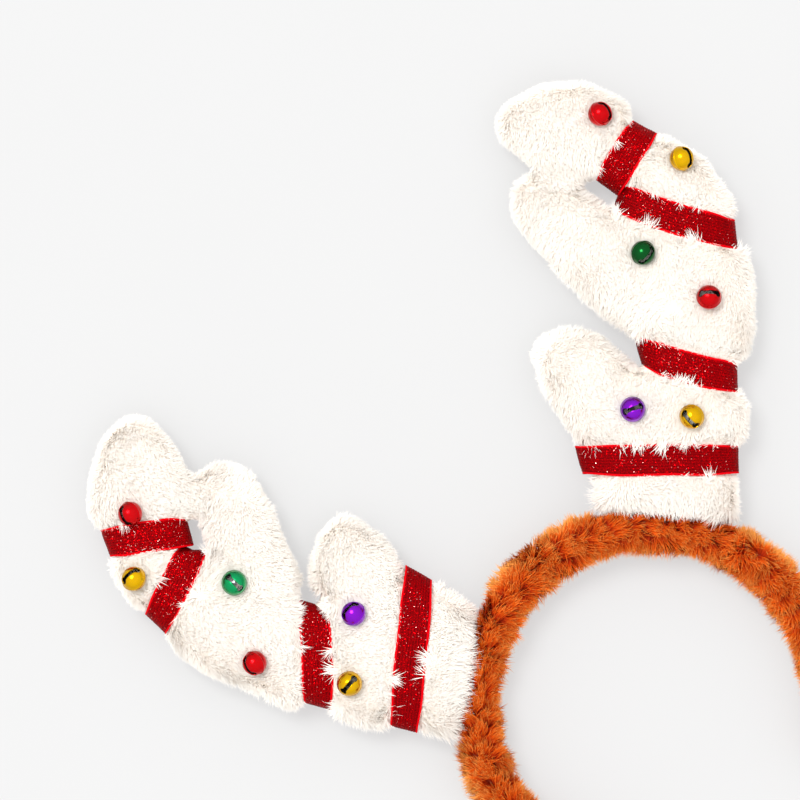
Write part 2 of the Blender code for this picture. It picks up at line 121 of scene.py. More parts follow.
# Bells, each with a slot, an end hole at both ends of it, a rolled seam and a wire loop
BELL_RADIUS = 5.0 * MM
BELL_WALL = 0.6 * MM
SLOT_WIDTH = 1.7 * MM
SLOT_REACH = math.radians(46)
HOLE_RADIUS = SLOT_WIDTH * 0.85
SEAM_HALF_HEIGHT = 0.45 * MM
SEAM_PROFILE = ((0.0, 0.34), (0.16, 0.2), (0.16, -0.2), (0.0, -0.34))
LOOP_RADIUS, LOOP_WIRE, LOOP_DROP = 1.3 * MM, 0.4 * MM, 5.5 * MM
LOOP_SEGMENTS, LOOP_SIDES = 20, 8
PELLET_TO_BELL = 2.565 * MM


class Ribbon(NamedTuple):
    """A section that a ribbon goes round: its rim and crook edges, the thickness, and the ribbon's bow.

    The ends say how far the ribbon reaches past each edge of the solid, first at its side towards the
    band and then at its side towards the tip, because it follows the antler's slanting outline there.
    """

    name: str
    rim: tuple
    crook: tuple
    thickness: float
    bow: float
    rim_ends: tuple
    crook_ends: tuple


class Bell(NamedTuple):
    """A bell's colour, how far it leans and where to, and the way its slot runs, in degrees."""

    place: str
    finish: str
    lean: float
    lean_to: float
    slot_line: float


class Antler(NamedTuple):
    name: str
    sign: int
    ribbons: tuple
    bells: tuple


ANTLERS = (
    Antler("right", 1, (
        Ribbon("base", (102, -29), (97, 36), 25, 0, (-0.3, -0.6), (-0.8, 2.4)),
        Ribbon("middle", (135, -27), (143, 15.5), 24, -1.2, (0.4, -3.0), (-3.2, 3.6)),
        Ribbon("beam", (193.5, -22), (206, 31), 24, -1.5, (1.4, -3.8), (0, 0)),
        Ribbon("tip", (237, 19), (208.5, 33.5), 21, 0.8, (-1.6, -2.4), (0, -1.0)),
    ), (
        Bell("tip", "red", 51, 306, 36),
        Bell("wedge", "gold", 46, 289, 19),
        Bell("middle_crook", "green", 33, 235, 145),
        Bell("middle_rim", "red", 25, 2, 94),
        Bell("base_crook", "purple", 3, 24, 114),
        Bell("base_rim", "gold", 25, 147, 46),
    )),
    Antler("left", -1, (
        Ribbon("base", (98, -29), (103, 37), 25, 0, (0, -2.0), (-3.4, 2.0)),
        Ribbon("middle", (134, -26), (144, 18), 24, -0.8, (0.8, -3.2), (-3.6, 0.5)),
        Ribbon("beam", (205.5, -2), (195.5, 31.5), 23, -0.5, (2.8, -0.8), (0, 0)),
        Ribbon("tip", (232, 26), (197.5, 37), 21, 0.6, (-1.4, 0.8), (0, -1.5)),
    ), (
        Bell("tip", "red", 43, 325, 55),
        Bell("wedge", "gold", 35, 40, 130),
        Bell("middle_crook", "emerald", 3, 125, 34),
        Bell("middle_rim", "red", 51, 319, 49),
        Bell("base_crook", "purple", 44, 34, 124),
        Bell("base_rim", "gold", 6, 300, 121),
    )),
)


def linear(hex_colour):
    """An sRGB hex colour as linear red, green, blue and alpha."""
    values = [int(hex_colour[k:k + 2], 16) / 255 for k in (0, 2, 4)]
    return (*[v / 12.92 if v <= 0.04045 else ((v + 0.055) / 1.055) ** 2.4 for v in values], 1.0)


class HeadbandBand(bpy.types.PropertyGroup):
    """The plush-covered hairband."""

    pile_length: FloatProperty(
        name="Pile length", description="Length of the long brown fibres, root to tip",
        default=9.8 * MM, min=0.002, max=0.02, unit="LENGTH")
    pile_count: IntProperty(
        name="Tufts of fibre", description="Number of modelled fibres on each half of the band",
        default=33000, min=1000, max=39000)
    root_colour: FloatVectorProperty(
        name="Root colour", description="Colour deep in the brown pile",
        subtype="COLOR", size=4, default=linear("781000"), min=0, max=1)
    tip_colour: FloatVectorProperty(
        name="Tip colour", description="Colour at the tips of the brown fibres",
        subtype="COLOR", size=4, default=linear("FFA850"), min=0, max=1)


class HeadbandAntlers(bpy.types.PropertyGroup):
    """The two stuffed antlers."""

    pile_length: FloatProperty(
        name="Pile length", description="Length of the short white fibres, root to tip",
        default=4.0 * MM, min=0.001, max=0.012, unit="LENGTH")
    pile_count: IntProperty(
        name="Tufts of fibre", description="Number of modelled fibres on each antler",
        default=60000, min=1000, max=65000)
    tip_colour: FloatVectorProperty(
        name="Tip colour", description="Colour at the tips of the white fibres",
        subtype="COLOR", size=4, default=linear("F9F5F0"), min=0, max=1)
    stuffing: FloatProperty(
        name="Stuffing pressure", description="Pressure that rounds the cloth out over its stuffing",
        default=4.0, min=0, max=10)


class HeadbandTrim(bpy.types.PropertyGroup):
    """Ribbons and bells."""

    glitter_count: IntProperty(
        name="Glitter flakes", description="Number of flakes on each ribbon", default=5400, min=0, max=8000)
    flake_size: FloatProperty(
        name="Flake size", description="Width of one flake of glitter",
        default=0.36 * MM, min=0.0001, max=0.001, unit="LENGTH")
    bell_segments: IntProperty(
        name="Bell segments", description="Faces round each bell", default=40, min=16, max=64)


class HeadbandStudio(bpy.types.PropertyGroup):
    """Camera, floor and lights."""

    key_power: FloatProperty(
        name="Key light", description="Strength of the soft light that comes from beyond the antler tips",
        default=1.7, min=0)
    surround: FloatProperty(
        name="Surround", description="Brightness of the even light from all round", default=1.3, min=0)


# Small helpers


def add(tree, kind, inputs=None, **properties):
    """Adds a node, sets its properties, and links or sets each input by its name or number."""
    node = tree.nodes.new(kind)
    for name, value in properties.items():
        setattr(node, name, value)
    for key, value in (inputs or {}).items():
        if isinstance(value, bpy.types.NodeSocket):
            tree.links.new(value, node.inputs[key])
        else:
            node.inputs[key].default_value = value
    return node


def new_material(name):
    """An empty material with its output, ready for one shader."""
    material = bpy.data.materials.new(name)
    material.use_nodes = True
    material.node_tree.nodes.clear()
    return material, material.node_tree


def finish_material(tree, inputs):
    """One principled shader with the given inputs, wired to the material's output."""
    shader = add(tree, "ShaderNodeBsdfPrincipled", inputs)
    add(tree, "ShaderNodeOutputMaterial", {"Surface": shader.outputs[0]})


def colour_ramp(tree, level, *stops):
    """A ramp through the stops, each a place from 0 to 1 and a linear colour."""
    ramp = add(tree, "ShaderNodeValToRGB", {0: level})
    elements = ramp.color_ramp.elements
    for element, (place, colour) in zip(elements, (stops[0], stops[-1])):
        element.position = place
        element.color = colour
    for place, colour in stops[1:-1]:
        elements.new(place).color = colour
    return ramp.outputs[0]


def new_object(name, mesh):
    thing = bpy.data.objects.new(name, mesh)
    bpy.context.scene.collection.objects.link(thing)
    return thing


def mesh_from(name, points, faces):
    mesh = bpy.data.meshes.new(name)
    mesh.from_pydata([tuple(p) for p in points], [], faces)
    mesh.validate()
    return mesh


def flatten(thing):
    """Turns what the modifiers make into a plain mesh and takes the modifiers away."""
    bpy.context.view_layer.update()
    depsgraph = bpy.context.evaluated_depsgraph_get()
    mesh = bpy.data.meshes.new_from_object(thing.evaluated_get(depsgraph))
    mesh.name = thing.name
    old = thing.data
    thing.modifiers.clear()
    thing.data = mesh
    bpy.data.meshes.remove(old)


def face_outwards(mesh):
    builder = bmesh.new()
    builder.from_mesh(mesh)
    bmesh.ops.recalc_face_normals(builder, faces=builder.faces)
    builder.to_mesh(mesh)
    builder.free()


def relax(thing, times):
    modifier = thing.modifiers.new("relax", "SMOOTH")
    modifier.factor = 0.5
    modifier.iterations = times


def points_of(mesh):
    flat = np.empty(len(mesh.vertices) * 3)
    mesh.vertices.foreach_get("co", flat)
    return flat.reshape(-1, 3)


def normals_of(mesh):
    flat = np.empty(len(mesh.vertices) * 3)
    mesh.vertices.foreach_get("normal", flat)
    return flat.reshape(-1, 3)


def set_points(mesh, points):
    mesh.vertices.foreach_set("co", np.ascontiguousarray(points).ravel())
    mesh.update()


def store(mesh, name, values):
    """Keeps one number or one vector for each point of a mesh."""
    kind, key = ("FLOAT", "value") if values.ndim == 1 else ("FLOAT_VECTOR", "vector")
    attribute = mesh.attributes.new(name, kind, "POINT")
    attribute.data.foreach_set(key, np.ascontiguousarray(values, dtype=np.float32).ravel())


def stored(mesh, name):
    """The numbers or vectors that store() kept, as they are after subdivision."""
    data = mesh.attributes[name].data
    wide = mesh.attributes[name].data_type == "FLOAT_VECTOR"
    flat = np.empty(len(data) * (3 if wide else 1))
    data.foreach_get("vector" if wide else "value", flat)
    return flat.reshape(-1, 3) if wide else flat


def set_inputs(modifier, values):
    """Sets a Geometry Nodes modifier's inputs, by the identifier behind each name."""
    for item in modifier.node_group.interface.items_tree:
        if item.item_type == "SOCKET" and item.in_out == "INPUT" and item.name in values:
            modifier[item.identifier] = values[item.name]


def smooth_step(low, high, values):
    t = np.clip((values - low) / (high - low), 0, 1)
    return t * t * (3 - 2 * t)


def dress(thing, slot_name, *materials):
    """Gives a finished piece its materials and the frame body that it rides on."""
    places = [polygon.material_index for polygon in thing.data.polygons]
    thing.data.materials.clear()
    for material in materials:
        thing.data.materials.append(material)
    for polygon, place in zip(thing.data.polygons, places):
        polygon.material_index = min(place, len(materials) - 1)
        polygon.use_smooth = True
    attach(thing, "root")


# Places on the antlers


def plane_point(sign, place):
    out, inward = place
    sine, cosine = math.sin(ROOT_ANGLE), math.cos(ROOT_ANGLE)
    turned = Vector((sign * (out * sine - inward * cosine), out * cosine + inward * sine, 0))
    return BAND_CENTRE + turned * MM


def plane_direction(sign, degrees):
    angle = math.radians(degrees)
    place = (math.cos(angle), math.sin(angle))
    return (plane_point(sign, place) - BAND_CENTRE).normalized()


class Section:
    """The rounded section of an antler that one ribbon goes round."""

    def __init__(self, antler, ribbon):
        rim, crook = plane_point(antler.sign, ribbon.rim), plane_point(antler.sign, ribbon.crook)
        self.middle = (rim + crook) / 2
        self.middle.z = (MID_HEIGHT - SAG_SHARE * (FULLEST - ribbon.thickness) / 2) * MM
        self.across = (crook - rim).normalized()
        self.half_width = (crook - rim).length / 2
        self.half_thickness = ribbon.thickness * MM / 2
        self.tipward = self.across.cross(UP) * antler.sign
        self.bow = ribbon.bow * MM
        self.ends = np.array((ribbon.rim_ends, ribbon.crook_ends)) * MM

    def reach(self, away, across):
        """How far the ribbon stands past the section's edges, growing towards its two ends."""
        share = np.clip(across / self.half_width, -1, 1)
        to_tip = np.clip(away / RIBBON_WIDTH + 0.5, 0, 1)
        rim, crook = (end[0] + (end[1] - end[0]) * to_tip for end in self.ends)
        return np.where(share < 0, rim, crook) * smooth_step(0.45, 1.0, np.abs(share))

    def points(self, count):
        """Evenly spaced points round the section, as x and z, with the way outwards at each."""
        angles = np.linspace(0, 2 * math.pi, 2881)[:-1]
        power = 2 / FULLNESS
        x = np.sign(np.cos(angles)) * np.abs(np.cos(angles)) ** power * self.half_width
        z = np.sign(np.sin(angles)) * np.abs(np.sin(angles)) ** power * self.half_thickness
        steps = np.hypot(np.diff(np.append(x, x[0])), np.diff(np.append(z, z[0])))
        travelled = np.concatenate(([0], np.cumsum(steps)))
        wanted = np.linspace(0, travelled[-1], count + 1)[:-1]
        x = np.interp(wanted, travelled, np.append(x, x[0]))
        z = np.interp(wanted, travelled, np.append(z, z[0]))
        along_x, along_z = np.roll(x, -1) - np.roll(x, 1), np.roll(z, -1) - np.roll(z, 1)
        length = np.hypot(along_x, along_z)
        return x, z, along_z / length, -along_x / length

    def off_centre(self, points):
        """How far points lie from the ribbon's middle line, along the antler, and across it."""
        away = points - np.array(self.middle)
        across = away @ np.array(self.across)
        share = np.clip(across / self.half_width, -1, 1)
        return away @ np.array(self.tipward) - self.bow * (1 - share * share), across


def bell_centre(antler, bell):
    low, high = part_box(f"pellet_{antler.name}_{bell.place}")
    return (Vector(low) + Vector(high)) / 2 + UP * PELLET_TO_BELL


# Padded skins under the pile


def padded_skin(name, node, voxel, smoothing, inset_of):
    """The backing cloth of a plush piece: its CAD solid, remeshed, and drawn in by the pile's depth."""
    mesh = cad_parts[node].data.copy()
    thing = new_object(name, mesh)
    for width in (voxel, voxel * 0.9):
        remesh = thing.modifiers.new("remesh", "REMESH")
        remesh.mode = "VOXEL"
        remesh.voxel_size = width
        relax(thing, smoothing)
        flatten(thing)
        points, normals = points_of(thing.data), normals_of(thing.data)
        set_points(thing.data, points - normals * inset_of(points, normals)[:, None] / 2)
    # Smoothing draws narrow ends in, so the cloth is let out again to its depth below the solid
    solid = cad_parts[node].data
    outside = BVHTree.FromPolygons([v.co for v in solid.vertices], [p.vertices for p in solid.polygons])
    for _ in range(2):
        points, normals = points_of(thing.data), normals_of(thing.data)
        found = [outside.find_nearest(Vector(p)) for p in points]
        depth = np.array([(place - Vector(p)).dot(way) for p, (place, way, _, _) in zip(points, found)])
        short = np.clip(depth - inset_of(points, normals), 0, 1.5 * MM)
        set_points(thing.data, points + normals * short[:, None])
        relax(thing, 2)
        flatten(thing)
    return thing


def stuff(thing, pressure, held, cap):
    """Blows the cloth out over its stuffing by simulation, no point further than the cap."""
    start = points_of(thing.data)
    group = thing.vertex_groups.new(name="held")
    for index, weight in enumerate(held):
        if weight > 0.01:
            group.add([index], float(weight), "REPLACE")
    cloth = thing.modifiers.new("cloth", "CLOTH")
    cloth.settings.use_pressure = True
    cloth.settings.uniform_pressure_force = pressure
    cloth.settings.effector_weights.gravity = 0
    cloth.settings.vertex_group_mass = group.name
    cloth.point_cache.frame_start = 1
    cloth.point_cache.frame_end = 20
    for step in range(1, 21):
        bpy.context.scene.frame_set(step)
    depsgraph = bpy.context.evaluated_depsgraph_get()
    moved = bpy.data.meshes.new_from_object(thing.evaluated_get(depsgraph))
    travel = points_of(moved) - start
    bpy.data.meshes.remove(moved)
    thing.modifiers.clear()
    thing.vertex_groups.clear()
    bpy.context.scene.frame_set(1)
    length = np.linalg.norm(travel, axis=1, keepdims=True)
    travel *= np.minimum(1, cap / np.maximum(length, 1e-9))
    set_points(thing.data, start + travel)
    finer = thing.modifiers.new("finer", "SUBSURF")
    finer.levels = finer.render_levels = 1
    flatten(thing)


# Pile


def pile_tree(segments):
    """Geometry Nodes tree that grows tapered fibres out of a skin and gathers them into locks."""
    tree = bpy.data.node_groups.new("plush pile", "GeometryNodeTree")
    tree.is_modifier = True
    sockets = tree.interface
    sockets.new_socket("Geometry", in_out="INPUT", socket_type="NodeSocketGeometry")
    for label in ("Density", "Length", "Unevenness", "Width", "Lean", "Spread", "Lock sway", "Lock size",
                  "Gathering", "Wave size", "Wave", "Softening", "Upturn"):
        sockets.new_socket(label, in_out="INPUT", socket_type="NodeSocketFloat")
    sockets.new_socket("Seed", in_out="INPUT", socket_type="NodeSocketInt")
    sockets.new_socket("Material", in_out="INPUT", socket_type="NodeSocketMaterial")
    sockets.new_socket("Geometry", in_out="OUTPUT", socket_type="NodeSocketGeometry")
    given = add(tree, "NodeGroupInput").outputs

    def maths(operation, *values):
        return add(tree, "ShaderNodeMath", dict(enumerate(values)), operation=operation).outputs[0]

    def vector(operation, *values, **named):
        node = add(tree, "ShaderNodeVectorMath", dict(enumerate(values)), operation=operation)
        for key, value in named.items():
            tree.links.new(value, node.inputs[key])
        return node.outputs["Value" if operation in ("DOT_PRODUCT", "LENGTH") else "Vector"]

    def read(name, kind):
        return add(tree, "GeometryNodeInputNamedAttribute", {"Name": name}, data_type=kind).outputs[0]

    def keep(geometry, name, kind, domain, value):
        node = add(tree, "GeometryNodeStoreNamedAttribute",
                   {"Geometry": geometry, "Name": name}, data_type=kind, domain=domain)
        tree.links.new(value, node.inputs["Value"])
        return node.outputs[0]

    def chance(low, high, offset):
        seed = maths("ADD", given["Seed"], float(offset))
        drawn = add(tree, "FunctionNodeRandomValue", {2: low, 3: high, 8: seed}, data_type="FLOAT")
        return drawn.outputs[1]

    # Roots, spread over the skin by its own density
    density = maths("MULTIPLY", given["Density"], read("pile_share", "FLOAT"))
    spread = add(tree, "GeometryNodeDistributePointsOnFaces",
                 {"Mesh": given["Geometry"], "Density": density, "Seed": given["Seed"]},
                 distribute_method="RANDOM")
    roots = keep(spread.outputs["Points"], "lift", "FLOAT_VECTOR", "POINT", spread.outputs["Normal"])
    position = add(tree, "GeometryNodeInputPosition").outputs[0]
    roots = keep(roots, "root", "FLOAT_VECTOR", "POINT", position)
    roots = keep(roots, "fibre", "FLOAT", "POINT", chance(0.0, 1.0, 5))

    # One fibre: X across, Y along the nap, Z away from the skin
    strip = add(tree, "GeometryNodeMeshGrid",
                {"Size X": 1.0, "Size Y": 1.0, "Vertices X": 2, "Vertices Y": segments + 1})
    parts = add(tree, "ShaderNodeSeparateXYZ", {0: position}).outputs
    along = maths("ADD", parts[1], 0.5)
    taper = maths("SUBTRACT", 1.0, maths("POWER", along, 2.2))
    flat = keep(strip.outputs["Mesh"], "along", "FLOAT", "POINT", along)
    along = read("along", "FLOAT")
    bend = maths("MULTIPLY", along, maths("MULTIPLY_ADD", along, 0.45, 0.55))
    reach = maths("MULTIPLY", bend, given["Lean"])
    rise_full = maths("SQRT", maths("SUBTRACT", 1.0, maths("MULTIPLY", given["Lean"], given["Lean"])))
    rise = maths("MULTIPLY", rise_full, maths("MULTIPLY", along, maths("MULTIPLY_ADD", along, -0.2, 1.2)))
    curved = add(tree, "ShaderNodeCombineXYZ", {0: maths("MULTIPLY", parts[0], taper), 1: reach, 2: rise})
    shaped = add(tree, "GeometryNodeSetPosition", {"Geometry": flat, "Position": curved.outputs[0]})
    closed = add(tree, "GeometryNodeMergeByDistance", {"Geometry": shaped.outputs[0], "Distance": 0.0005})

    # Turned to the skin and the nap, each a little its own way
    sway = add(tree, "FunctionNodeRandomValue", {0: (-1.0, -1.0, -1.0), 1: (1.0, 1.0, 1.0)},
               data_type="FLOAT_VECTOR")
    tree.links.new(given["Seed"], sway.inputs[8])
    cell = add(tree, "ShaderNodeTexVoronoi",
               {"Vector": read("root", "FLOAT_VECTOR"), "Scale": maths("DIVIDE", 1.0, given["Lock size"])},
               feature="F1")
    lock_way = vector("SUBTRACT", cell.outputs["Color"], (0.5, 0.5, 0.5))
    strayed = vector("ADD", vector("SCALE", sway.outputs[0], Scale=given["Spread"]),
                     vector("SCALE", lock_way, Scale=given["Lock sway"]))
    nap = vector("ADD", read("nap", "FLOAT_VECTOR"), strayed)
    tilt = add(tree, "ShaderNodeVectorMath", {0: strayed, "Scale": 0.3}, operation="SCALE")
    upright = add(tree, "FunctionNodeAlignRotationToVector",
                  {"Vector": vector("ADD", read("lift", "FLOAT_VECTOR"), tilt.outputs[0])}, axis="Z")
    turned = add(tree, "FunctionNodeAlignRotationToVector",
                 {"Rotation": upright.outputs[0], "Vector": nap}, axis="Y", pivot_axis="Z")
    shortest = maths("SUBTRACT", 1.0, given["Unevenness"])
    length = maths("MULTIPLY", given["Length"], read("pile_length", "FLOAT"))
    evenness = maths("ADD", shortest, maths("MULTIPLY", given["Unevenness"], chance(0.0, 1.0, 9)))
    length = maths("MULTIPLY", length, evenness)
    width = maths("MULTIPLY", given["Width"], chance(0.7, 1.3, 13))
    scale = add(tree, "ShaderNodeCombineXYZ", {0: width, 1: length, 2: length})
    planted = add(tree, "GeometryNodeInstanceOnPoints",
                  {"Points": roots, "Instance": closed.outputs[0], "Rotation": turned.outputs[0],
                   "Scale": scale.outputs[0]})
    loose = add(tree, "GeometryNodeRealizeInstances", {"Geometry": planted.outputs[0]}).outputs[0]

    # Locks: the tips of neighbouring fibres draw together, and the pile waves
    root, lift = read("root", "FLOAT_VECTOR"), read("lift", "FLOAT_VECTOR")
    pull = vector("SUBTRACT", cell.outputs["Position"], root)
    sunk = maths("MULTIPLY", vector("DOT_PRODUCT", pull, lift), -1.0)
    pull = vector("ADD", pull, vector("SCALE", lift, Scale=sunk))
    gather = maths("MULTIPLY", given["Gathering"], maths("POWER", along, 1.3))
    swirl = add(tree, "ShaderNodeTexNoise",
                {"Vector": position, "Scale": maths("DIVIDE", 1.0, given["Wave size"]), "Detail": 2.0})
    swing = vector("SUBTRACT", swirl.outputs["Color"], (0.5, 0.5, 0.5))
    wave = maths("MULTIPLY", given["Wave"], along)
    offset = vector("ADD", vector("SCALE", pull, Scale=gather), vector("SCALE", swing, Scale=wave))
    settled = add(tree, "GeometryNodeSetPosition", {"Geometry": loose, "Offset": offset})

    # Fibres that come down to the surface lie flat on it
    parts = add(tree, "ShaderNodeSeparateXYZ", {0: position}).outputs
    height = maths("MAXIMUM", parts[2], 0.0003)
    laid = add(tree, "ShaderNodeCombineXYZ", {0: parts[0], 1: parts[1], 2: height})
    settled = add(tree, "GeometryNodeSetPosition",
                  {"Geometry": settled.outputs[0], "Position": laid.outputs[0]})

    # Light falls on the pile much as on the skin below it, because the real fibres let it through,
    # and fibres on a steep side catch the light from above
    own = add(tree, "GeometryNodeInputNormal").outputs["Normal"]
    own = vector("SCALE", own, Scale=maths("SUBTRACT", 1.0, given["Softening"]))
    upturn = add(tree, "ShaderNodeCombineXYZ", {0: 0.0, 1: 0.0, 2: given["Upturn"]}).outputs[0]
    turned_up = vector("NORMALIZE", vector("ADD", lift, upturn))
    soft = vector("NORMALIZE", vector("ADD", own, vector("SCALE", turned_up, Scale=given["Softening"])))
    lit = add(tree, "GeometryNodeSetMeshNormal", mode="FREE", domain="POINT")
    tree.links.new(settled.outputs[0], lit.inputs["Mesh"])
    tree.links.new(soft, lit.inputs["Custom Normal"])

    # Shade of each fibre, by its lock and its own chance, beside its height from the root; painted light on
    # the band's flanks adds to that height, so the fibres there take the paler tip colours
    lock_shade = add(tree, "ShaderNodeSeparateXYZ", {0: cell.outputs["Color"]}).outputs[0]
    shade = maths("ADD", maths("MULTIPLY", lock_shade, 0.6), maths("MULTIPLY", read("fibre", "FLOAT"), 0.4))
    height = maths("ADD", along, read("painted_flank_light", "FLOAT"))
    place = add(tree, "ShaderNodeCombineXYZ", {0: shade, 1: height, 2: 0.0})
    named = keep(lit.outputs[0], "OFBake", "FLOAT2", "CORNER", place.outputs[0])
    for name in ("root", "lift", "fibre", "along", "painted_flank_light"):
        named = add(tree, "GeometryNodeRemoveAttribute", {"Geometry": named, "Name": name}).outputs[0]
    finished = add(tree, "GeometryNodeSetMaterial", {"Geometry": named, "Material": given["Material"]})
    add(tree, "NodeGroupOutput", {0: finished.outputs[0]})
    return tree


def light_from_above(thing, upturn):
    """Turns the skin's shading upwards like its pile's, so that it stays as bright between the fibres."""
    normals = normals_of(thing.data) + np.array((0, 0, upturn))
    normals /= np.linalg.norm(normals, axis=1, keepdims=True)
    thing.data.normals_split_custom_set_from_vertices(normals)


def grow_pile(name, skin, tree, share, count, values):
    """A piece of loose pile: the tree's fibres on a copy of the skin, as a plain mesh."""
    thing = new_object(name, skin.data.copy())
    mesh = thing.data
    if "pile_share" in mesh.attributes:
        mesh.attributes.remove(mesh.attributes["pile_share"])
    store(mesh, "pile_share", share)
    covered = sum(p.area * sum(share[v] for v in p.vertices) / len(p.vertices) for p in mesh.polygons)
    modifier = thing.modifiers.new("pile", "NODES")
    modifier.node_group = tree
    set_inputs(modifier, {"Density": count / covered, **values})
    flatten(thing)
    return thing


def nap_field(points, normals, bias, swirl, scale, seed):
    """The way the pile lies at each point: a steady comb and a slow swirl, laid along the skin."""
    # Left alone, Blender seeds noise_vector from the clock
    noise.seed_set(NAP_SEED)
    found = np.array([
        noise.noise_vector(Vector(p) * scale + Vector((seed, seed * 0.7, -seed))) for p in points])
    nap = bias + found * swirl
    nap -= normals * np.sum(nap * normals, axis=1, keepdims=True)
    return nap / np.maximum(np.linalg.norm(nap, axis=1, keepdims=True), 1e-6)


def slow_noise(points, scale, seed):
    return np.array([noise.noise(Vector(p) * scale + Vector((seed, -seed, seed * 0.3))) for p in points])


def pile_material(name, shades, dark, sheen, roughness):
    """Loose fibres, shaded from root to tip, with each lock a little lighter or darker."""
    material, tree = new_material(name)
    place = add(tree, "ShaderNodeUVMap", uv_map="OFBake")
    parts = add(tree, "ShaderNodeSeparateXYZ", {0: place.outputs[0]})
    ramp = colour_ramp(tree, parts.outputs[1], *shades)
    level = add(tree, "ShaderNodeMapRange", {0: parts.outputs[0], 3: dark, 4: 1.0})
    shade = add(tree, "ShaderNodeVectorMath", {0: ramp}, operation="SCALE")
    tree.links.new(level.outputs[0], shade.inputs["Scale"])
    finish_material(tree, {"Base Color": shade.outputs[0], "Roughness": roughness,
                           "Specular IOR Level": 0.06,
                           "Sheen Weight": sheen, "Sheen Roughness": 0.4})
    return material


def backing_material(name, ground_hex, thread_hex):
    """Knitted backing cloth, seen only as a tone deep between the fibres; its loops are 0.8 mm apart."""
    material, tree = new_material(name)
    place = add(tree, "ShaderNodeTexCoord").outputs["Object"]
    loops = add(tree, "ShaderNodeTexVoronoi", {"Vector": place, "Scale": 1 / (0.8 * MM)})
    mixed = add(tree, "ShaderNodeMix", {0: loops.outputs["Distance"], 6: linear(thread_hex),
                                        7: linear(ground_hex)}, data_type="RGBA")
    bump = add(tree, "ShaderNodeBump", {"Height": loops.outputs["Distance"], "Distance": 0.2 * MM,
                                        "Strength": 0.6})
    finish_material(tree, {"Base Color": mixed.outputs[2], "Roughness": 0.9, "Normal": bump.outputs[0]})
    return material


def glitter_material(name, low_hex, high_hex, roughness):
    """Metallised film flakes, each with its own brightness, so that the ribbon sparkles unevenly."""
    material, tree = new_material(name)
    place = add(tree, "ShaderNodeUVMap", uv_map="OFBake")
    parts = add(tree, "ShaderNodeSeparateXYZ", {0: place.outputs[0]})
    ramp = colour_ramp(tree, parts.outputs[0], (0, linear(low_hex)), (0.965, linear(high_hex)),
                       (0.982, linear("FFB8B0")))
    finish_material(tree, {"Base Color": ramp, "Metallic": 1.0, "Roughness": roughness})
    return material


def ribbon_material():
    """Woven lame: dark red ground in lengthwise rows 1 mm apart, with smooth bright selvedges."""
    material, tree = new_material("woven red lame")
    place = add(tree, "ShaderNodeUVMap", uv_map="cloth")
    parts = add(tree, "ShaderNodeSeparateXYZ", {0: place.outputs[0]})
    threads = add(tree, "ShaderNodeTexNoise",
                  {"Vector": place.outputs[0], "Scale": 1 / (0.7 * MM), "Detail": 3.0})
    rows = add(tree, "ShaderNodeMath", {0: parts.outputs[1], 1: 2 * math.pi / (1.2 * MM)},
               operation="MULTIPLY")
    rows = add(tree, "ShaderNodeMath", {0: rows.outputs[0]}, operation="SINE")
    tone = add(tree, "ShaderNodeMath", {0: rows.outputs[0], 1: 0.12, 2: threads.outputs[0]},
               operation="MULTIPLY_ADD")
    ramp = colour_ramp(tree, tone.outputs[0], (0.25, linear("4A0003")), (0.75, linear("8C0004")))
    edge = add(tree, "ShaderNodeAttribute", attribute_name="selvedge")
    mixed = add(tree, "ShaderNodeMix", {0: edge.outputs["Fac"], 6: ramp, 7: linear("D80410")},
                data_type="RGBA")
    bump = add(tree, "ShaderNodeBump", {"Height": tone.outputs[0], "Distance": 0.15 * MM, "Strength": 0.5})
    finish_material(tree, {"Base Color": mixed.outputs[2], "Roughness": 0.6, "Normal": bump.outputs[0],
                           "Specular IOR Level": 0.02})
    return material


def bell_material(name, colour_hex):
    """Clear coloured lacquer over bright plated steel, pressed thin, with faint drawing marks."""
    material, tree = new_material(name)
    place = add(tree, "ShaderNodeTexCoord").outputs["Object"]
    marks = add(tree, "ShaderNodeTexNoise", {"Vector": place, "Scale": 1 / (2.5 * MM), "Detail": 2.0})
    level = add(tree, "ShaderNodeMapRange", {0: marks.outputs[0], 3: 0.86, 4: 1.0})
    shade = add(tree, "ShaderNodeVectorMath", {0: linear(colour_hex)[:3]}, operation="SCALE")
    tree.links.new(level.outputs[0], shade.inputs["Scale"])
    bump = add(tree, "ShaderNodeBump",
               {"Height": marks.outputs[0], "Distance": 0.08 * MM, "Strength": 0.35})
    finish_material(tree, {"Base Color": shade.outputs[0], "Metallic": 1.0, "Roughness": 0.2,
                           "Normal": bump.outputs[0], "Coat Weight": 0.12, "Coat Roughness": 0.05})
    return material


def bell_inside_shade_material():
    """Bare pressed steel inside a bell, painted near-black for the shade in it, so the slot reads as a
    black line.
    """
    material, tree = new_material("painted shade inside bell")
    place = add(tree, "ShaderNodeTexCoord").outputs["Object"]
    # Painted shade: near-black, speckled a little by this noise
    shade_speckle = add(tree, "ShaderNodeTexNoise", {"Vector": place, "Scale": 1 / (0.8 * MM), "Detail": 2.0})
    ramp = colour_ramp(tree, shade_speckle.outputs[0], (0, linear("14100E")), (1, linear("2A2422")))
    finish_material(tree, {"Base Color": ramp, "Metallic": 0.4, "Roughness": 0.7})
    return material


def shot_material():
    """Tumbled steel shot, dull grey with small dents."""
    material, tree = new_material("tumbled steel shot")
    place = add(tree, "ShaderNodeTexCoord").outputs["Object"]
    dents = add(tree, "ShaderNodeTexNoise", {"Vector": place, "Scale": 1 / (0.6 * MM), "Detail": 2.0})
    ramp = colour_ramp(tree, dents.outputs[0], (0, linear("8D8D90")), (1, linear("C4C4C8")))
    bump = add(tree, "ShaderNodeBump", {"Height": dents.outputs[0], "Distance": 0.05 * MM})
    finish_material(tree, {"Base Color": ramp, "Metallic": 1.0, "Roughness": 0.35,
                           "Normal": bump.outputs[0]})
    return material


# Band


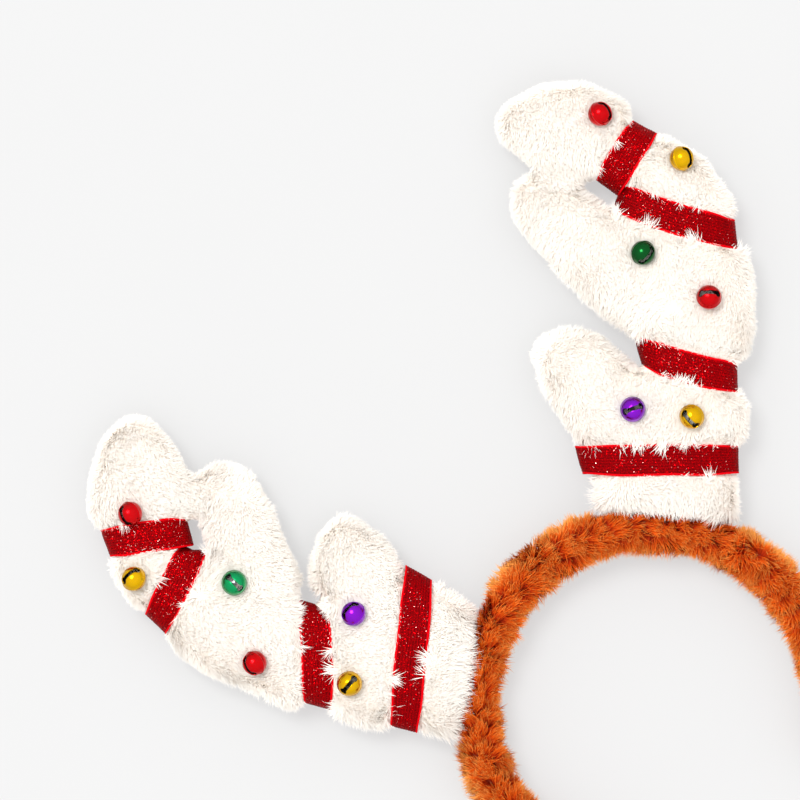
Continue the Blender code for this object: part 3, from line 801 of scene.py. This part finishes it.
def band_point(travel):
    """Middle of the padding at a distance along the band from the crown, and the way outwards."""
    side = math.copysign(1, travel)
    distance = abs(travel)
    round_length = BAND_RADIUS * BAND_ARC
    if distance <= round_length:
        angle = distance / BAND_RADIUS
        place = Vector((math.sin(angle), math.cos(angle), 0)) * BAND_RADIUS
    else:
        angle = BAND_ARC + (distance - round_length) / BAND_LEG_RADIUS
        bend = Vector((math.sin(BAND_ARC), math.cos(BAND_ARC), 0)) * (BAND_RADIUS - BAND_LEG_RADIUS)
        place = bend + Vector((math.sin(angle), math.cos(angle), 0)) * BAND_LEG_RADIUS
    outward = Vector((math.sin(angle) * side, math.cos(angle), 0))
    return BAND_CENTRE + Vector((place.x * side, place.y, 0)), outward


def band_backing(depth, rings, sides):
    """The band's backing cloth: a padded tube along the head's curve, the pile's depth inside the plush."""
    half_length = BAND_RADIUS * BAND_ARC + BAND_LEG - depth
    end_round = BAND_END_ROUND - depth
    half_depth, half_height = BAND_HALF_DEPTH - depth, BAND_HALF_HEIGHT - depth
    points, faces, sides_out, ways_out = [], [], [], []
    for k in range(rings):
        travel = half_length * math.sin(math.pi / 2 * (2 * (k + 0.5) / rings - 1))
        middle, outward = band_point(travel)
        to_end = min(1, (half_length - abs(travel)) / end_round)
        share = math.sqrt(1 - (1 - to_end) ** 2)
        for j in range(sides):
            angle = 2 * math.pi * j / sides
            out = math.copysign(abs(math.cos(angle)) ** (2 / FULLNESS), math.cos(angle))
            up = math.copysign(abs(math.sin(angle)) ** (2 / FULLNESS), math.sin(angle))
            height = BAND_MID_HEIGHT + up * half_height * share
            points.append(middle + outward * out * half_depth * share + UP * max(height, 1.2 * MM))
            sides_out.append(out)
            ways_out.append(outward)
    for k in range(rings - 1):
        for j in range(sides):
            a, b = k * sides + j, k * sides + (j + 1) % sides
            faces.append((a, b, b + sides, a + sides))
    for first, order in ((0, -1), ((rings - 1) * sides, 1)):
        centre = len(points)
        points.append(sum((points[first + j] for j in range(sides)), Vector()) / sides)
        sides_out.append(0)
        ways_out.append(ways_out[first])
        for j in range(sides):
            edge = (first + j, first + (j + 1) % sides)
            faces.append((centre, *edge[::order]))
    mesh = mesh_from("band_backing", points, faces)
    store(mesh, "side", np.array(sides_out, dtype=float))
    store(mesh, "outward", np.array(ways_out))
    return new_object("band_backing", mesh)


def make_band():
    settings = bpy.context.scene.headband_band
    skin = band_backing(4.6 * MM, 90, 20)
    face_outwards(skin.data)
    stuff(skin, 3.0, np.zeros(len(skin.data.vertices)), 0.6 * MM)
    points, normals = points_of(skin.data), normals_of(skin.data)
    side, outward = stored(skin.data, "side"), stored(skin.data, "outward")
    round_way = np.stack([outward[:, 1], -outward[:, 0], np.zeros(len(outward))], axis=1)
    # Along the top the pile lies along the band, and down both flanks it lies away from the top,
    # apart from the stretches under the antlers' roots, where it is flattened
    spokes = points - np.array(BAND_CENTRE)
    from_root = np.abs(np.arctan2(np.abs(spokes[:, 0]), spokes[:, 1]) - ROOT_ANGLE)
    pressed = (1 - smooth_step(0.37, 0.47, from_root)) * smooth_step(0.1, 0.5, side)
    flank = smooth_step(0.25, 0.9, np.abs(side)) * (1 - pressed)
    comb = outward * (np.sign(side) * flank * 1.3)[:, None] + round_way * (1 - flank)[:, None]
    comb[:, 2] -= 0.3 * flank
    nap = nap_field(points, normals, comb, 1.4, 75, 3.0)
    store(skin.data, "nap", nap)
    store(skin.data, "pile_length", (0.95 + 0.35 * slow_noise(points, 90, 11.0)) * (1 - 0.4 * pressed))
    # Painted light: down both flanks the fibres take paler colours, on the outer flank three times as much,
    # as if lit through their pale tips at the band's edges
    store(skin.data, "painted_flank_light", 0.2 * flank * (side > 0) + 0.1 * flank)
    below = 1 - 0.7 * smooth_step(0.2, 0.75, -normals[:, 2])
    right = (points[:, 0] > BAND_CENTRE.x).astype(float)
    tree = pile_tree(3)
    shades = ((0, settings.root_colour), (0.45, linear("C03204")), (0.78, linear("E85E0C")),
              (1, settings.tip_colour))
    material = pile_material("long brown plush", shades, dark=0.58, sheen=0.0, roughness=0.65)
    for side, share in (("right", right), ("left", 1 - right)):
        pile = grow_pile("band_pile_" + side, skin, tree, share * below, settings.pile_count, {
            "Length": settings.pile_length, "Unevenness": 0.45, "Width": 0.42 * MM, "Lean": 0.7,
            "Spread": 0.45, "Lock sway": 1.6, "Lock size": 3.4 * MM, "Gathering": 0.6, "Wave size": 5 * MM,
            "Wave": 3.4 * MM, "Softening": 0.4, "Upturn": 0.3, "Seed": 7 if side == "right" else 8,
            "Material": material})
        dress(pile, "brown_plush", material)
    dress(skin, "brown_plush", backing_material("brown knitted backing", "7E2002", "9C3606"))
    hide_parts("band")


# Antlers


def near_ribbons(sections, points):
    """From 0 on open plush to 1 under a ribbon, the distance past its edge, and the way to its middle."""
    past = np.full(len(points), 1.0)
    toward = np.zeros_like(points)
    for section in sections:
        away, across = section.off_centre(points)
        beyond = np.maximum(np.abs(away) - RIBBON_WIDTH / 2, 0)
        beyond = np.where(np.abs(across) < section.half_width + 4 * MM, beyond, 1.0)
        nearer = beyond < past
        past[nearer] = beyond[nearer]
        toward[nearer] = -np.sign(away[nearer])[:, None] * np.array(section.tipward)
    return 1 - smooth_step(0.2 * MM, 2.5 * MM, past), past, toward


def past_ends(sections, points):
    """How far the ribbons there reach past the solid's edges, or fall short of them."""
    reach = np.zeros(len(points))
    for section in sections:
        away, across = section.off_centre(points)
        near = (np.abs(away) < RIBBON_WIDTH * 0.7) & (np.abs(across) < section.half_width + 4 * MM)
        reach = np.where(near, section.reach(away, across), reach)
    return reach


def make_antler(antler, tree, material, backing):
    settings = bpy.context.scene.headband_antlers
    sections = [Section(antler, ribbon) for ribbon in antler.ribbons]
    centres = np.array([bell_centre(antler, bell) for bell in antler.bells])

    def inset_of(points, normals):
        under, _, _ = near_ribbons(sections, points)
        from_middle = np.linalg.norm(points[:, :2] - np.array(BAND_CENTRE)[:2], axis=1)
        at_root = 1 - smooth_step(ROOT_NEAR, ROOT_FAR, from_middle)
        sideways = 1 - normals[:, 2] ** 2
        open_inset = OPEN_INSET * (1 - at_root)
        under_inset = RIBBON_INSET - np.clip(past_ends(sections, points), -4 * MM, RIBBON_INSET) * sideways
        return open_inset * (1 - under) + under_inset * under

    node = "antler_" + antler.name
    skin = padded_skin(node + "_backing", node, 3.2 * MM, 3, inset_of)
    points = points_of(skin.data)
    under, _, _ = near_ribbons(sections, points)
    near_bell = np.linalg.norm(points[:, None] - centres[None], axis=2).min(axis=1) < 7 * MM
    stuff(skin, settings.stuffing, np.maximum(under, near_bell), 1.2 * MM)
    points, normals = points_of(skin.data), normals_of(skin.data)
    under, past, toward = near_ribbons(sections, points)
    bell_distance = np.linalg.norm(points[:, None] - centres[None], axis=2).min(axis=1)
    share = (1 - smooth_step(0.6 * MM, 1.6 * MM, np.where(past < 0.01 * MM, 1.0, -1.0)))
    share *= smooth_step(3.2 * MM, 4.4 * MM, bell_distance)
    share *= 1 - 0.75 * smooth_step(0.5, 0.9, -normals[:, 2])
    root = np.array(plane_point(antler.sign, (60, 0)))
    comb = root - points
    comb[:, 2] = 0
    comb /= np.linalg.norm(comb, axis=1, keepdims=True)
    # On the rims the pile hangs down, so that from above the bright upper fibres hide the lower ones
    comb[:, 2] = -1.6 * smooth_step(0.15, 0.7, 1 - np.abs(normals[:, 2]))
    # Here and there wisps reach over a ribbon's edge, and elsewhere the pile runs along it
    beside = 1 - smooth_step(2.0 * MM, 6.0 * MM, past)
    wisps = beside * smooth_step(0.14, 0.5, slow_noise(points, 210, 31.0))
    reaching = np.sum(comb * toward, axis=1) * beside
    comb = comb * 0.7 - toward * (0.7 * np.maximum(reaching, 0) + 0.25 * beside)[:, None]
    nap = nap_field(points, normals, comb + toward * (2.2 * wisps)[:, None], 1.1, 55, 5.0 + antler.sign)
    store(skin.data, "nap", nap)
    from_middle = np.linalg.norm(points[:, :2] - np.array(BAND_CENTRE)[:2], axis=1)
    tufts = smooth_step(0.0, 0.35, slow_noise(points, 140, 41.0))
    rim = smooth_step(0.3, 0.8, 1 - np.abs(normals[:, 2])) * smooth_step(240 * MM, 170 * MM, from_middle)
    at_root = 1 - smooth_step(84 * MM, 92 * MM, from_middle)
    length = 0.95 + 0.2 * slow_noise(points, 70, 21.0) + 1.0 * wisps + 0.6 * rim * tufts
    length += at_root * (0.6 + 1.0 * tufts)
    store(skin.data, "pile_length", length * (1 - 0.45 * smooth_step(-0.1, 0.4, -normals[:, 2])))
    pile = grow_pile(node + "_pile", skin, tree, share, settings.pile_count, {
        "Length": settings.pile_length, "Unevenness": 0.35, "Width": 0.36 * MM, "Lean": 0.76,
        "Spread": 0.6, "Lock sway": 0.35, "Lock size": 2.4 * MM, "Gathering": 0.4, "Wave size": 7 * MM,
        "Wave": 1.6 * MM, "Softening": 0.95, "Upturn": PILE_UPTURN, "Seed": 31 + antler.sign,
        "Material": material})
    dress(pile, "white_plush", material)
    light_from_above(skin, PILE_UPTURN)
    dress(skin, "white_plush", backing)
    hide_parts(node)


def make_antlers():
    tree = pile_tree(2)
    tip = bpy.context.scene.headband_antlers.tip_colour
    shades = ((0, linear("FBF0E6")), (0.5, linear("FBF5EC")), (1, tip))
    material = pile_material("short white plush", shades, dark=0.97, sheen=0.0, roughness=0.8)
    backing = backing_material("white knitted backing", "F7ECE0", "FAF3E9")
    for antler in ANTLERS:
        make_antler(antler, tree, material, backing)


# Ribbons


def flake_tree():
    """Geometry Nodes tree that lays small tilted flakes over a ribbon's glittered faces."""
    tree = bpy.data.node_groups.new("glitter flakes", "GeometryNodeTree")
    tree.is_modifier = True
    sockets = tree.interface
    sockets.new_socket("Geometry", in_out="INPUT", socket_type="NodeSocketGeometry")
    for label in ("Density", "Flake size", "Tilt"):
        sockets.new_socket(label, in_out="INPUT", socket_type="NodeSocketFloat")
    sockets.new_socket("Seed", in_out="INPUT", socket_type="NodeSocketInt")
    sockets.new_socket("Material", in_out="INPUT", socket_type="NodeSocketMaterial")
    sockets.new_socket("Geometry", in_out="OUTPUT", socket_type="NodeSocketGeometry")
    given = add(tree, "NodeGroupInput").outputs
    glitter = add(tree, "GeometryNodeInputNamedAttribute", {"Name": "glitter"}, data_type="FLOAT")
    density = add(tree, "ShaderNodeMath", {0: given["Density"], 1: glitter.outputs[0]},
                  operation="MULTIPLY")
    spread = add(tree, "GeometryNodeDistributePointsOnFaces",
                 {"Mesh": given["Geometry"], "Density": density.outputs[0], "Seed": given["Seed"]},
                 distribute_method="RANDOM")
    shade = add(tree, "FunctionNodeRandomValue", {2: 0.0, 3: 1.0, 8: 3}, data_type="FLOAT").outputs[1]
    points = add(tree, "GeometryNodeStoreNamedAttribute",
                 {"Geometry": spread.outputs["Points"], "Name": "shade"}, data_type="FLOAT", domain="POINT")
    tree.links.new(shade, points.inputs["Value"])
    flake = add(tree, "GeometryNodeMeshGrid",
                {"Size X": 1.0, "Size Y": 1.0, "Vertices X": 2, "Vertices Y": 2})
    turn = add(tree, "FunctionNodeRandomValue", {0: (-1.0, -1.0, -3.2), 1: (1.0, 1.0, 3.2), 8: 5},
               data_type="FLOAT_VECTOR")
    tilt = add(tree, "ShaderNodeCombineXYZ", {0: given["Tilt"], 1: given["Tilt"], 2: 1.0})
    tipped = add(tree, "ShaderNodeVectorMath", {0: turn.outputs[0], 1: tilt.outputs[0]},
                 operation="MULTIPLY")
    tipped = add(tree, "FunctionNodeEulerToRotation", {0: tipped.outputs[0]})
    turned = add(tree, "FunctionNodeRotateRotation",
                 {"Rotation": spread.outputs["Rotation"], "Rotate By": tipped.outputs[0]},
                 rotation_space="LOCAL")
    width = add(tree, "FunctionNodeRandomValue", {2: 0.6, 3: 1.25, 8: 9}, data_type="FLOAT")
    width = add(tree, "ShaderNodeMath", {0: width.outputs[1], 1: given["Flake size"]}, operation="MULTIPLY")
    laid = add(tree, "GeometryNodeInstanceOnPoints",
               {"Points": points.outputs[0], "Instance": flake.outputs["Mesh"],
                "Rotation": turned.outputs[0], "Scale": width.outputs[0]})
    loose = add(tree, "GeometryNodeRealizeInstances", {"Geometry": laid.outputs[0]})
    read = add(tree, "GeometryNodeInputNamedAttribute", {"Name": "shade"}, data_type="FLOAT").outputs[0]
    place = add(tree, "ShaderNodeCombineXYZ", {0: read, 1: 0.5})
    named = add(tree, "GeometryNodeStoreNamedAttribute",
                {"Geometry": loose.outputs[0], "Name": "OFBake"}, data_type="FLOAT2", domain="CORNER")
    tree.links.new(place.outputs[0], named.inputs["Value"])
    finished = add(tree, "GeometryNodeSetMaterial",
                   {"Geometry": named.outputs[0], "Material": given["Material"]})
    add(tree, "NodeGroupOutput", {0: finished.outputs[0]})
    return tree


def ribbon_mesh(name, section, over):
    """A ribbon wound once round the antler, with its raised rows, thicker selvedges and soft ripples."""
    around = RIBBON_AROUND
    x, z, out_x, out_z = section.points(around)
    half = RIBBON_WIDTH / 2
    stations = [(-half, RIBBON_WALL, 1.0), (-half, 0.5 * MM, 1.0)]
    stations += [(s * half, -lift * MM, edge) for s, lift, edge in (
        (-1.0, -0.15, 1.0), (-0.97, 0.1, 1.0), (-0.92, 0.14, 1.0), (-0.87, 0.02, 0.6))]
    for k in range(2 * RIBBON_ROWS + 1):
        s = -0.84 + 1.68 * k / (2 * RIBBON_ROWS)
        stations.append((s * half, -WEAVE_DEPTH if k % 2 else 0.0, 0.0))
    stations += [(-s, depth, edge) for s, depth, edge in reversed(stations[:6])]
    middle, across, tipward = (np.array(v) for v in (section.middle, section.across, section.tipward))
    points, places, edges = [], [], []
    girth = 2 * math.pi * section.half_width
    for k in range(around):
        share = x[k] / section.half_width
        drift = section.bow * (1 - share * share)
        way = across * out_x[k] + np.array((0, 0, out_z[k]))
        base = middle + across * x[k] + np.array((0, 0, z[k]))
        narrowing = 1 - END_NARROWING * float(smooth_step(0.5, 1.0, abs(share)))
        for s, depth, edge in stations:
            wander = 0.35 * MM * noise.noise(Vector((k / around * 9, section.half_width * 900, 2.0)))
            at = base + tipward * (s * narrowing + drift + wander) - way * depth
            at = at + across * float(section.reach(s, x[k])) * np.sign(x[k])
            ripple = noise.noise(Vector(at) * 90) * 0.35 + noise.noise(Vector(at) * 260) * 0.12
            at = at + way * ripple * MM
            points.append(at)
            places.append((k / around * girth, s))
            edges.append(edge)
    points = np.array(points)
    if over is not None:
        away, _ = over.off_centre(points)
        sunk = 1 - smooth_step(half * 0.9, half + 2.0 * MM, np.abs(away))
        inward = middle - points
        inward[:, :2] *= 0.35
        inward /= np.linalg.norm(inward, axis=1, keepdims=True)
        points += inward * (sunk * CROSSING_DEPTH)[:, None]
    points[:, 2] = np.maximum(points[:, 2], LOWEST)
    columns = len(stations)
    faces = []
    for k in range(around):
        for j in range(columns):
            a, b = k * columns + j, k * columns + (j + 1) % columns
            c, d = ((k + 1) % around) * columns + (j + 1) % columns, ((k + 1) % around) * columns + j
            faces.append((a, b, c, d))
    mesh = mesh_from(name, points, faces)
    face_outwards(mesh)
    cloth = mesh.uv_layers.new(name="cloth")
    for loop in mesh.loops:
        cloth.data[loop.index].uv = places[loop.vertex_index]
    store(mesh, "selvedge", np.array(edges))
    outward = np.array([0.0 if edge > 0 else 1.0 for edge in edges])
    store(mesh, "glitter", outward)
    return mesh


def make_ribbons():
    settings = bpy.context.scene.headband_trim
    tree = flake_tree()
    cloth = ribbon_material()
    flakes = glitter_material("red metallised glitter", "6E0004", "E60208", 0.24)
    for antler in ANTLERS:
        sections = {ribbon.name: Section(antler, ribbon) for ribbon in antler.ribbons}
        for ribbon in antler.ribbons:
            name = f"ribbon_{antler.name}_{ribbon.name}"
            over = sections["tip"] if ribbon.name == "beam" else None
            mesh = ribbon_mesh(name, sections[ribbon.name], over)
            thing = new_object(name + "_woven", mesh)
            glittered = sum(p.area for p in mesh.polygons) * 0.4
            loose = new_object(name + "_glitter", mesh.copy())
            modifier = loose.modifiers.new("glitter", "NODES")
            modifier.node_group = tree
            set_inputs(modifier, {"Density": settings.glitter_count / glittered, "Tilt": 0.38,
                                  "Flake size": settings.flake_size, "Seed": 40 + antler.sign,
                                  "Material": flakes})
            flatten(loose)
            dress(thing, "red_glitter_ribbon", cloth)
            dress(loose, "red_glitter_ribbon", flakes)
            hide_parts(name)


# Bells


def turned_shell(radius, segments, rows):
    """A round bell with a rolled seam at its middle, as a closed mesh that is hollowed later."""
    outer = []
    for k in range(1, rows):
        height = math.cos(math.pi * k / rows)
        outer.append((radius * math.sin(math.pi * k / rows), radius * height))
    seam = [(radius + out * MM, height * MM) for out, height in SEAM_PROFILE]
    above = [p for p in outer if p[1] > SEAM_HALF_HEIGHT]
    outer = above + seam + [p for p in outer if p[1] < -SEAM_HALF_HEIGHT]
    points, faces = [], []
    for ring in outer:
        for k in range(segments):
            angle = 2 * math.pi * k / segments
            points.append((ring[0] * math.cos(angle), ring[0] * math.sin(angle), ring[1]))
    for row in range(len(outer) - 1):
        for k in range(segments):
            a, b = row * segments + k, row * segments + (k + 1) % segments
            faces.append((a, a + segments, b + segments, b))
    top, bottom = len(points), len(points) + 1
    points += [(0, 0, radius), (0, 0, -radius)]
    last = (len(outer) - 1) * segments
    for k in range(segments):
        faces.append((top, k, (k + 1) % segments))
        faces.append((bottom, last + (k + 1) % segments, last + k))
    return mesh_from("bell_shell", points, faces)


def cut_by(thing, *tools):
    for tool in tools:
        modifier = thing.modifiers.new("cut", "BOOLEAN")
        modifier.operation = "DIFFERENCE"
        modifier.object = tool
        modifier.solver = "EXACT"
    flatten(thing)
    for tool in tools:
        mesh = tool.data
        bpy.data.objects.remove(tool)
        bpy.data.meshes.remove(mesh)


def tool_from(name, build):
    mesh = bpy.data.meshes.new(name)
    builder = bmesh.new()
    build(builder)
    builder.to_mesh(mesh)
    builder.free()
    return new_object(name, mesh)


def bell_pattern(segments):
    """One bell at the origin: slot round +Z along Y with a round hole at each end, and a loop at -Z."""
    shell = new_object("bell_pattern", turned_shell(BELL_RADIUS, segments, segments // 2))
    hollow = tool_from("hollow", lambda b: bmesh.ops.create_uvsphere(
        b, u_segments=24, v_segments=12, radius=BELL_RADIUS - BELL_WALL))
    length = 2 * BELL_RADIUS * math.sin(SLOT_REACH)
    drop = 2 * BELL_RADIUS * (1 - math.cos(SLOT_REACH))
    box = Matrix.Translation((0, 0, BELL_RADIUS)) @ Matrix.Diagonal((SLOT_WIDTH, length, drop, 1))
    slot = tool_from("slot", lambda b: bmesh.ops.create_cube(b, size=1, matrix=box))
    tools = [hollow, slot]
    for side in (-1, 1):
        turn = Matrix.Rotation(-side * SLOT_REACH, 4, "X") @ Matrix.Translation((0, 0, BELL_RADIUS))
        tools.append(tool_from("hole", lambda b, turn=turn: bmesh.ops.create_cone(
            b, cap_ends=True, segments=20, radius1=HOLE_RADIUS, radius2=HOLE_RADIUS,
            depth=BELL_RADIUS, matrix=turn)))
    cut_by(shell, *tools)
    bevel = shell.modifiers.new("soft edges", "BEVEL")
    bevel.width = 0.1 * MM
    bevel.segments = 1
    bevel.limit_method = "ANGLE"
    bevel.angle_limit = math.radians(50)
    flatten(shell)
    pattern = shell.data
    bpy.data.objects.remove(shell)
    # Faces inside the shell take the second material, the painted shade
    inside = (BELL_RADIUS - BELL_WALL) * 1.03
    within = [vertex.co.length < inside for vertex in pattern.vertices]
    for polygon in pattern.polygons:
        polygon.material_index = int(all(within[v] for v in polygon.vertices))
    builder = bmesh.new()
    builder.from_mesh(pattern)
    ring = []
    for k in range(LOOP_SEGMENTS):
        around = 2 * math.pi * k / LOOP_SEGMENTS
        row = []
        for j in range(LOOP_SIDES):
            section = 2 * math.pi * j / LOOP_SIDES
            distance = LOOP_RADIUS + LOOP_WIRE * math.cos(section)
            place = (LOOP_WIRE * math.sin(section), distance * math.cos(around),
                     distance * math.sin(around) - LOOP_DROP)
            row.append(builder.verts.new(place))
        ring.append(row)
    loop_faces = []
    for k in range(LOOP_SEGMENTS):
        for j in range(LOOP_SIDES):
            following, beside = (k + 1) % LOOP_SEGMENTS, (j + 1) % LOOP_SIDES
            loop_faces.append(builder.faces.new(
                (ring[k][j], ring[following][j], ring[following][beside], ring[k][beside])))
    bmesh.ops.recalc_face_normals(builder, faces=loop_faces)
    builder.to_mesh(pattern)
    builder.free()
    return pattern


def make_bells():
    finishes = {
        "red": bell_material("red lacquered steel", "C8020A"),
        "gold": bell_material("gold lacquered steel", "DDAA00"),
        "green": bell_material("dark green lacquered steel", "06501E"),
        "emerald": bell_material("emerald lacquered steel", "109C5A"),
        "purple": bell_material("purple lacquered steel", "8414C4"),
    }
    # The bells' insides take a material painted dark as shade
    shot, inside_shade = shot_material(), bell_inside_shade_material()
    pattern = bell_pattern(bpy.context.scene.headband_trim.bell_segments)
    for antler in ANTLERS:
        for bell in antler.bells:
            name = f"bell_{antler.name}_{bell.place}"
            axis = plane_direction(antler.sign, bell.lean_to) * math.sin(math.radians(bell.lean))
            axis += UP * math.cos(math.radians(bell.lean))
            line = plane_direction(antler.sign, bell.slot_line)
            line = (line - axis * line.dot(axis)).normalized()
            turn = Matrix((line.cross(axis), line, axis)).transposed().to_4x4()
            thing = new_object(name + "_shell", pattern.copy())
            thing.data.transform(Matrix.Translation(bell_centre(antler, bell)) @ turn)
            dress(thing, "bell_" + bell.finish, finishes[bell.finish], inside_shade)
            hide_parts(name)
            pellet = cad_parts[f"pellet_{antler.name}_{bell.place}"]
            pellet.data.materials.clear()
            pellet.data.materials.append(shot)


# Camera, floor and lights


def floor_material():
    """A white acrylic light table: matt, faintly uneven, and lit from below, which keeps shadows short."""
    material, tree = new_material("lit white acrylic")
    place = add(tree, "ShaderNodeTexCoord").outputs["Object"]
    tone = add(tree, "ShaderNodeTexNoise", {"Vector": place, "Scale": 6.0})
    ramp = colour_ramp(tree, tone.outputs[0], (0, linear("858585")), (1, linear("888888")))
    finish_material(tree, {"Base Color": ramp, "Roughness": 0.9, "Specular IOR Level": 0.1,
                           "Emission Color": (1, 1, 1, 1), "Emission Strength": 0.51})
    return material


def make_studio():
    settings = bpy.context.scene.headband_studio
    scene = bpy.context.scene
    camera = bpy.data.objects.new("camera", bpy.data.cameras.new("camera"))
    scene.collection.objects.link(camera)
    camera.data.lens = VIEW_LENS
    camera.data.sensor_width = SENSOR
    camera.location = VIEW_CENTRE + UP * VIEW_HEIGHT
    camera.rotation_euler = (0, 0, VIEW_TURN)
    camera.data.clip_start = 0.01
    camera.data.clip_end = 50
    scene.camera = camera
    floor = new_object("floor", mesh_from(
        "floor", [(-3, -3, 0), (3, -3, 0), (3, 3, 0), (-3, 3, 0)], [(0, 1, 2, 3)]))
    floor.data.materials.append(floor_material())
    middle = (cad_low + cad_high) / 2
    light = bpy.data.lights.new("key light", "SUN")
    light.energy = settings.key_power
    light.angle = math.radians(24)
    key = bpy.data.objects.new("key light", light)
    scene.collection.objects.link(key)
    key.location = middle + KEY_WAY
    key.rotation_mode = "QUATERNION"
    key.rotation_quaternion = (-KEY_WAY).to_track_quat("-Z", "Y")
    world = bpy.data.worlds.new("studio surround")
    world.use_nodes = True
    world.node_tree.nodes.clear()
    tree = world.node_tree
    way = add(tree, "ShaderNodeTexCoord").outputs["Generated"]
    height = add(tree, "ShaderNodeSeparateXYZ", {0: way}).outputs[2]
    level = add(tree, "ShaderNodeMapRange", {0: height, 1: 0.0, 2: 0.8, 3: 0.75, 4: 1.0})
    level = add(tree, "ShaderNodeMath", {0: level.outputs[0], 1: settings.surround}, operation="MULTIPLY")
    glow = add(tree, "ShaderNodeBackground", {"Color": (1, 1, 1, 1), "Strength": level.outputs[0]})
    add(tree, "ShaderNodeOutputWorld", {0: glow.outputs[0]})
    scene.world = world
    scene.view_settings.view_transform = "Standard"


# Operators, panel and registration


class HEADBAND_OT_studio(bpy.types.Operator):
    """Set up the camera, the white floor and the soft lights"""

    bl_idname = "headband.studio"
    bl_label = "Studio"

    def execute(self, context):
        make_studio()
        return {"FINISHED"}


class HEADBAND_OT_band(bpy.types.Operator):
    """Pad the hairband and grow its long brown pile"""

    bl_idname = "headband.band"
    bl_label = "Plush band"

    def execute(self, context):
        make_band()
        return {"FINISHED"}


class HEADBAND_OT_antlers(bpy.types.Operator):
    """Stuff both antlers and grow their short white pile"""

    bl_idname = "headband.antlers"
    bl_label = "Stuffed antlers"

    def execute(self, context):
        make_antlers()
        return {"FINISHED"}


class HEADBAND_OT_ribbons(bpy.types.Operator):
    """Wind the eight glitter ribbons round the antlers"""

    bl_idname = "headband.ribbons"
    bl_label = "Glitter ribbons"

    def execute(self, context):
        make_ribbons()
        return {"FINISHED"}


class HEADBAND_OT_bells(bpy.types.Operator):
    """Set the twelve jingle bells into the plush"""

    bl_idname = "headband.bells"
    bl_label = "Jingle bells"

    def execute(self, context):
        make_bells()
        return {"FINISHED"}


class HEADBAND_PT_panel(bpy.types.Panel):
    """Sizes, colours and the steps that build the headband"""

    bl_label = "Antler Headband"
    bl_idname = "HEADBAND_PT_panel"
    bl_space_type = "VIEW_3D"
    bl_region_type = "UI"
    bl_category = "Headband"

    def draw(self, context):
        for group_name, operator in STEPS:
            box = self.layout.box()
            group = getattr(context.scene, group_name)
            for key in group.__annotations__:
                box.prop(group, key)
            box.operator(operator)


STEPS = (
    ("headband_studio", "headband.studio"),
    ("headband_band", "headband.band"),
    ("headband_antlers", "headband.antlers"),
    ("headband_trim", "headband.ribbons"),
    ("headband_trim", "headband.bells"),
)
GROUPS = (
    ("headband_studio", HeadbandStudio),
    ("headband_band", HeadbandBand),
    ("headband_antlers", HeadbandAntlers),
    ("headband_trim", HeadbandTrim),
)
CLASSES = (
    HeadbandStudio, HeadbandBand, HeadbandAntlers, HeadbandTrim,
    HEADBAND_OT_studio, HEADBAND_OT_band, HEADBAND_OT_antlers, HEADBAND_OT_ribbons, HEADBAND_OT_bells,
    HEADBAND_PT_panel,
)


def register():
    for item in CLASSES:
        bpy.utils.register_class(item)
    for name, group in GROUPS:
        setattr(bpy.types.Scene, name, PointerProperty(type=group))


def unregister():
    for name, _ in GROUPS:
        delattr(bpy.types.Scene, name)
    for item in reversed(CLASSES):
        bpy.utils.unregister_class(item)


def main():
    register()
    bpy.ops.headband.studio()
    bpy.ops.headband.band()
    bpy.ops.headband.antlers()
    bpy.ops.headband.ribbons()
    bpy.ops.headband.bells()


if __name__ == "__main__":
    main()
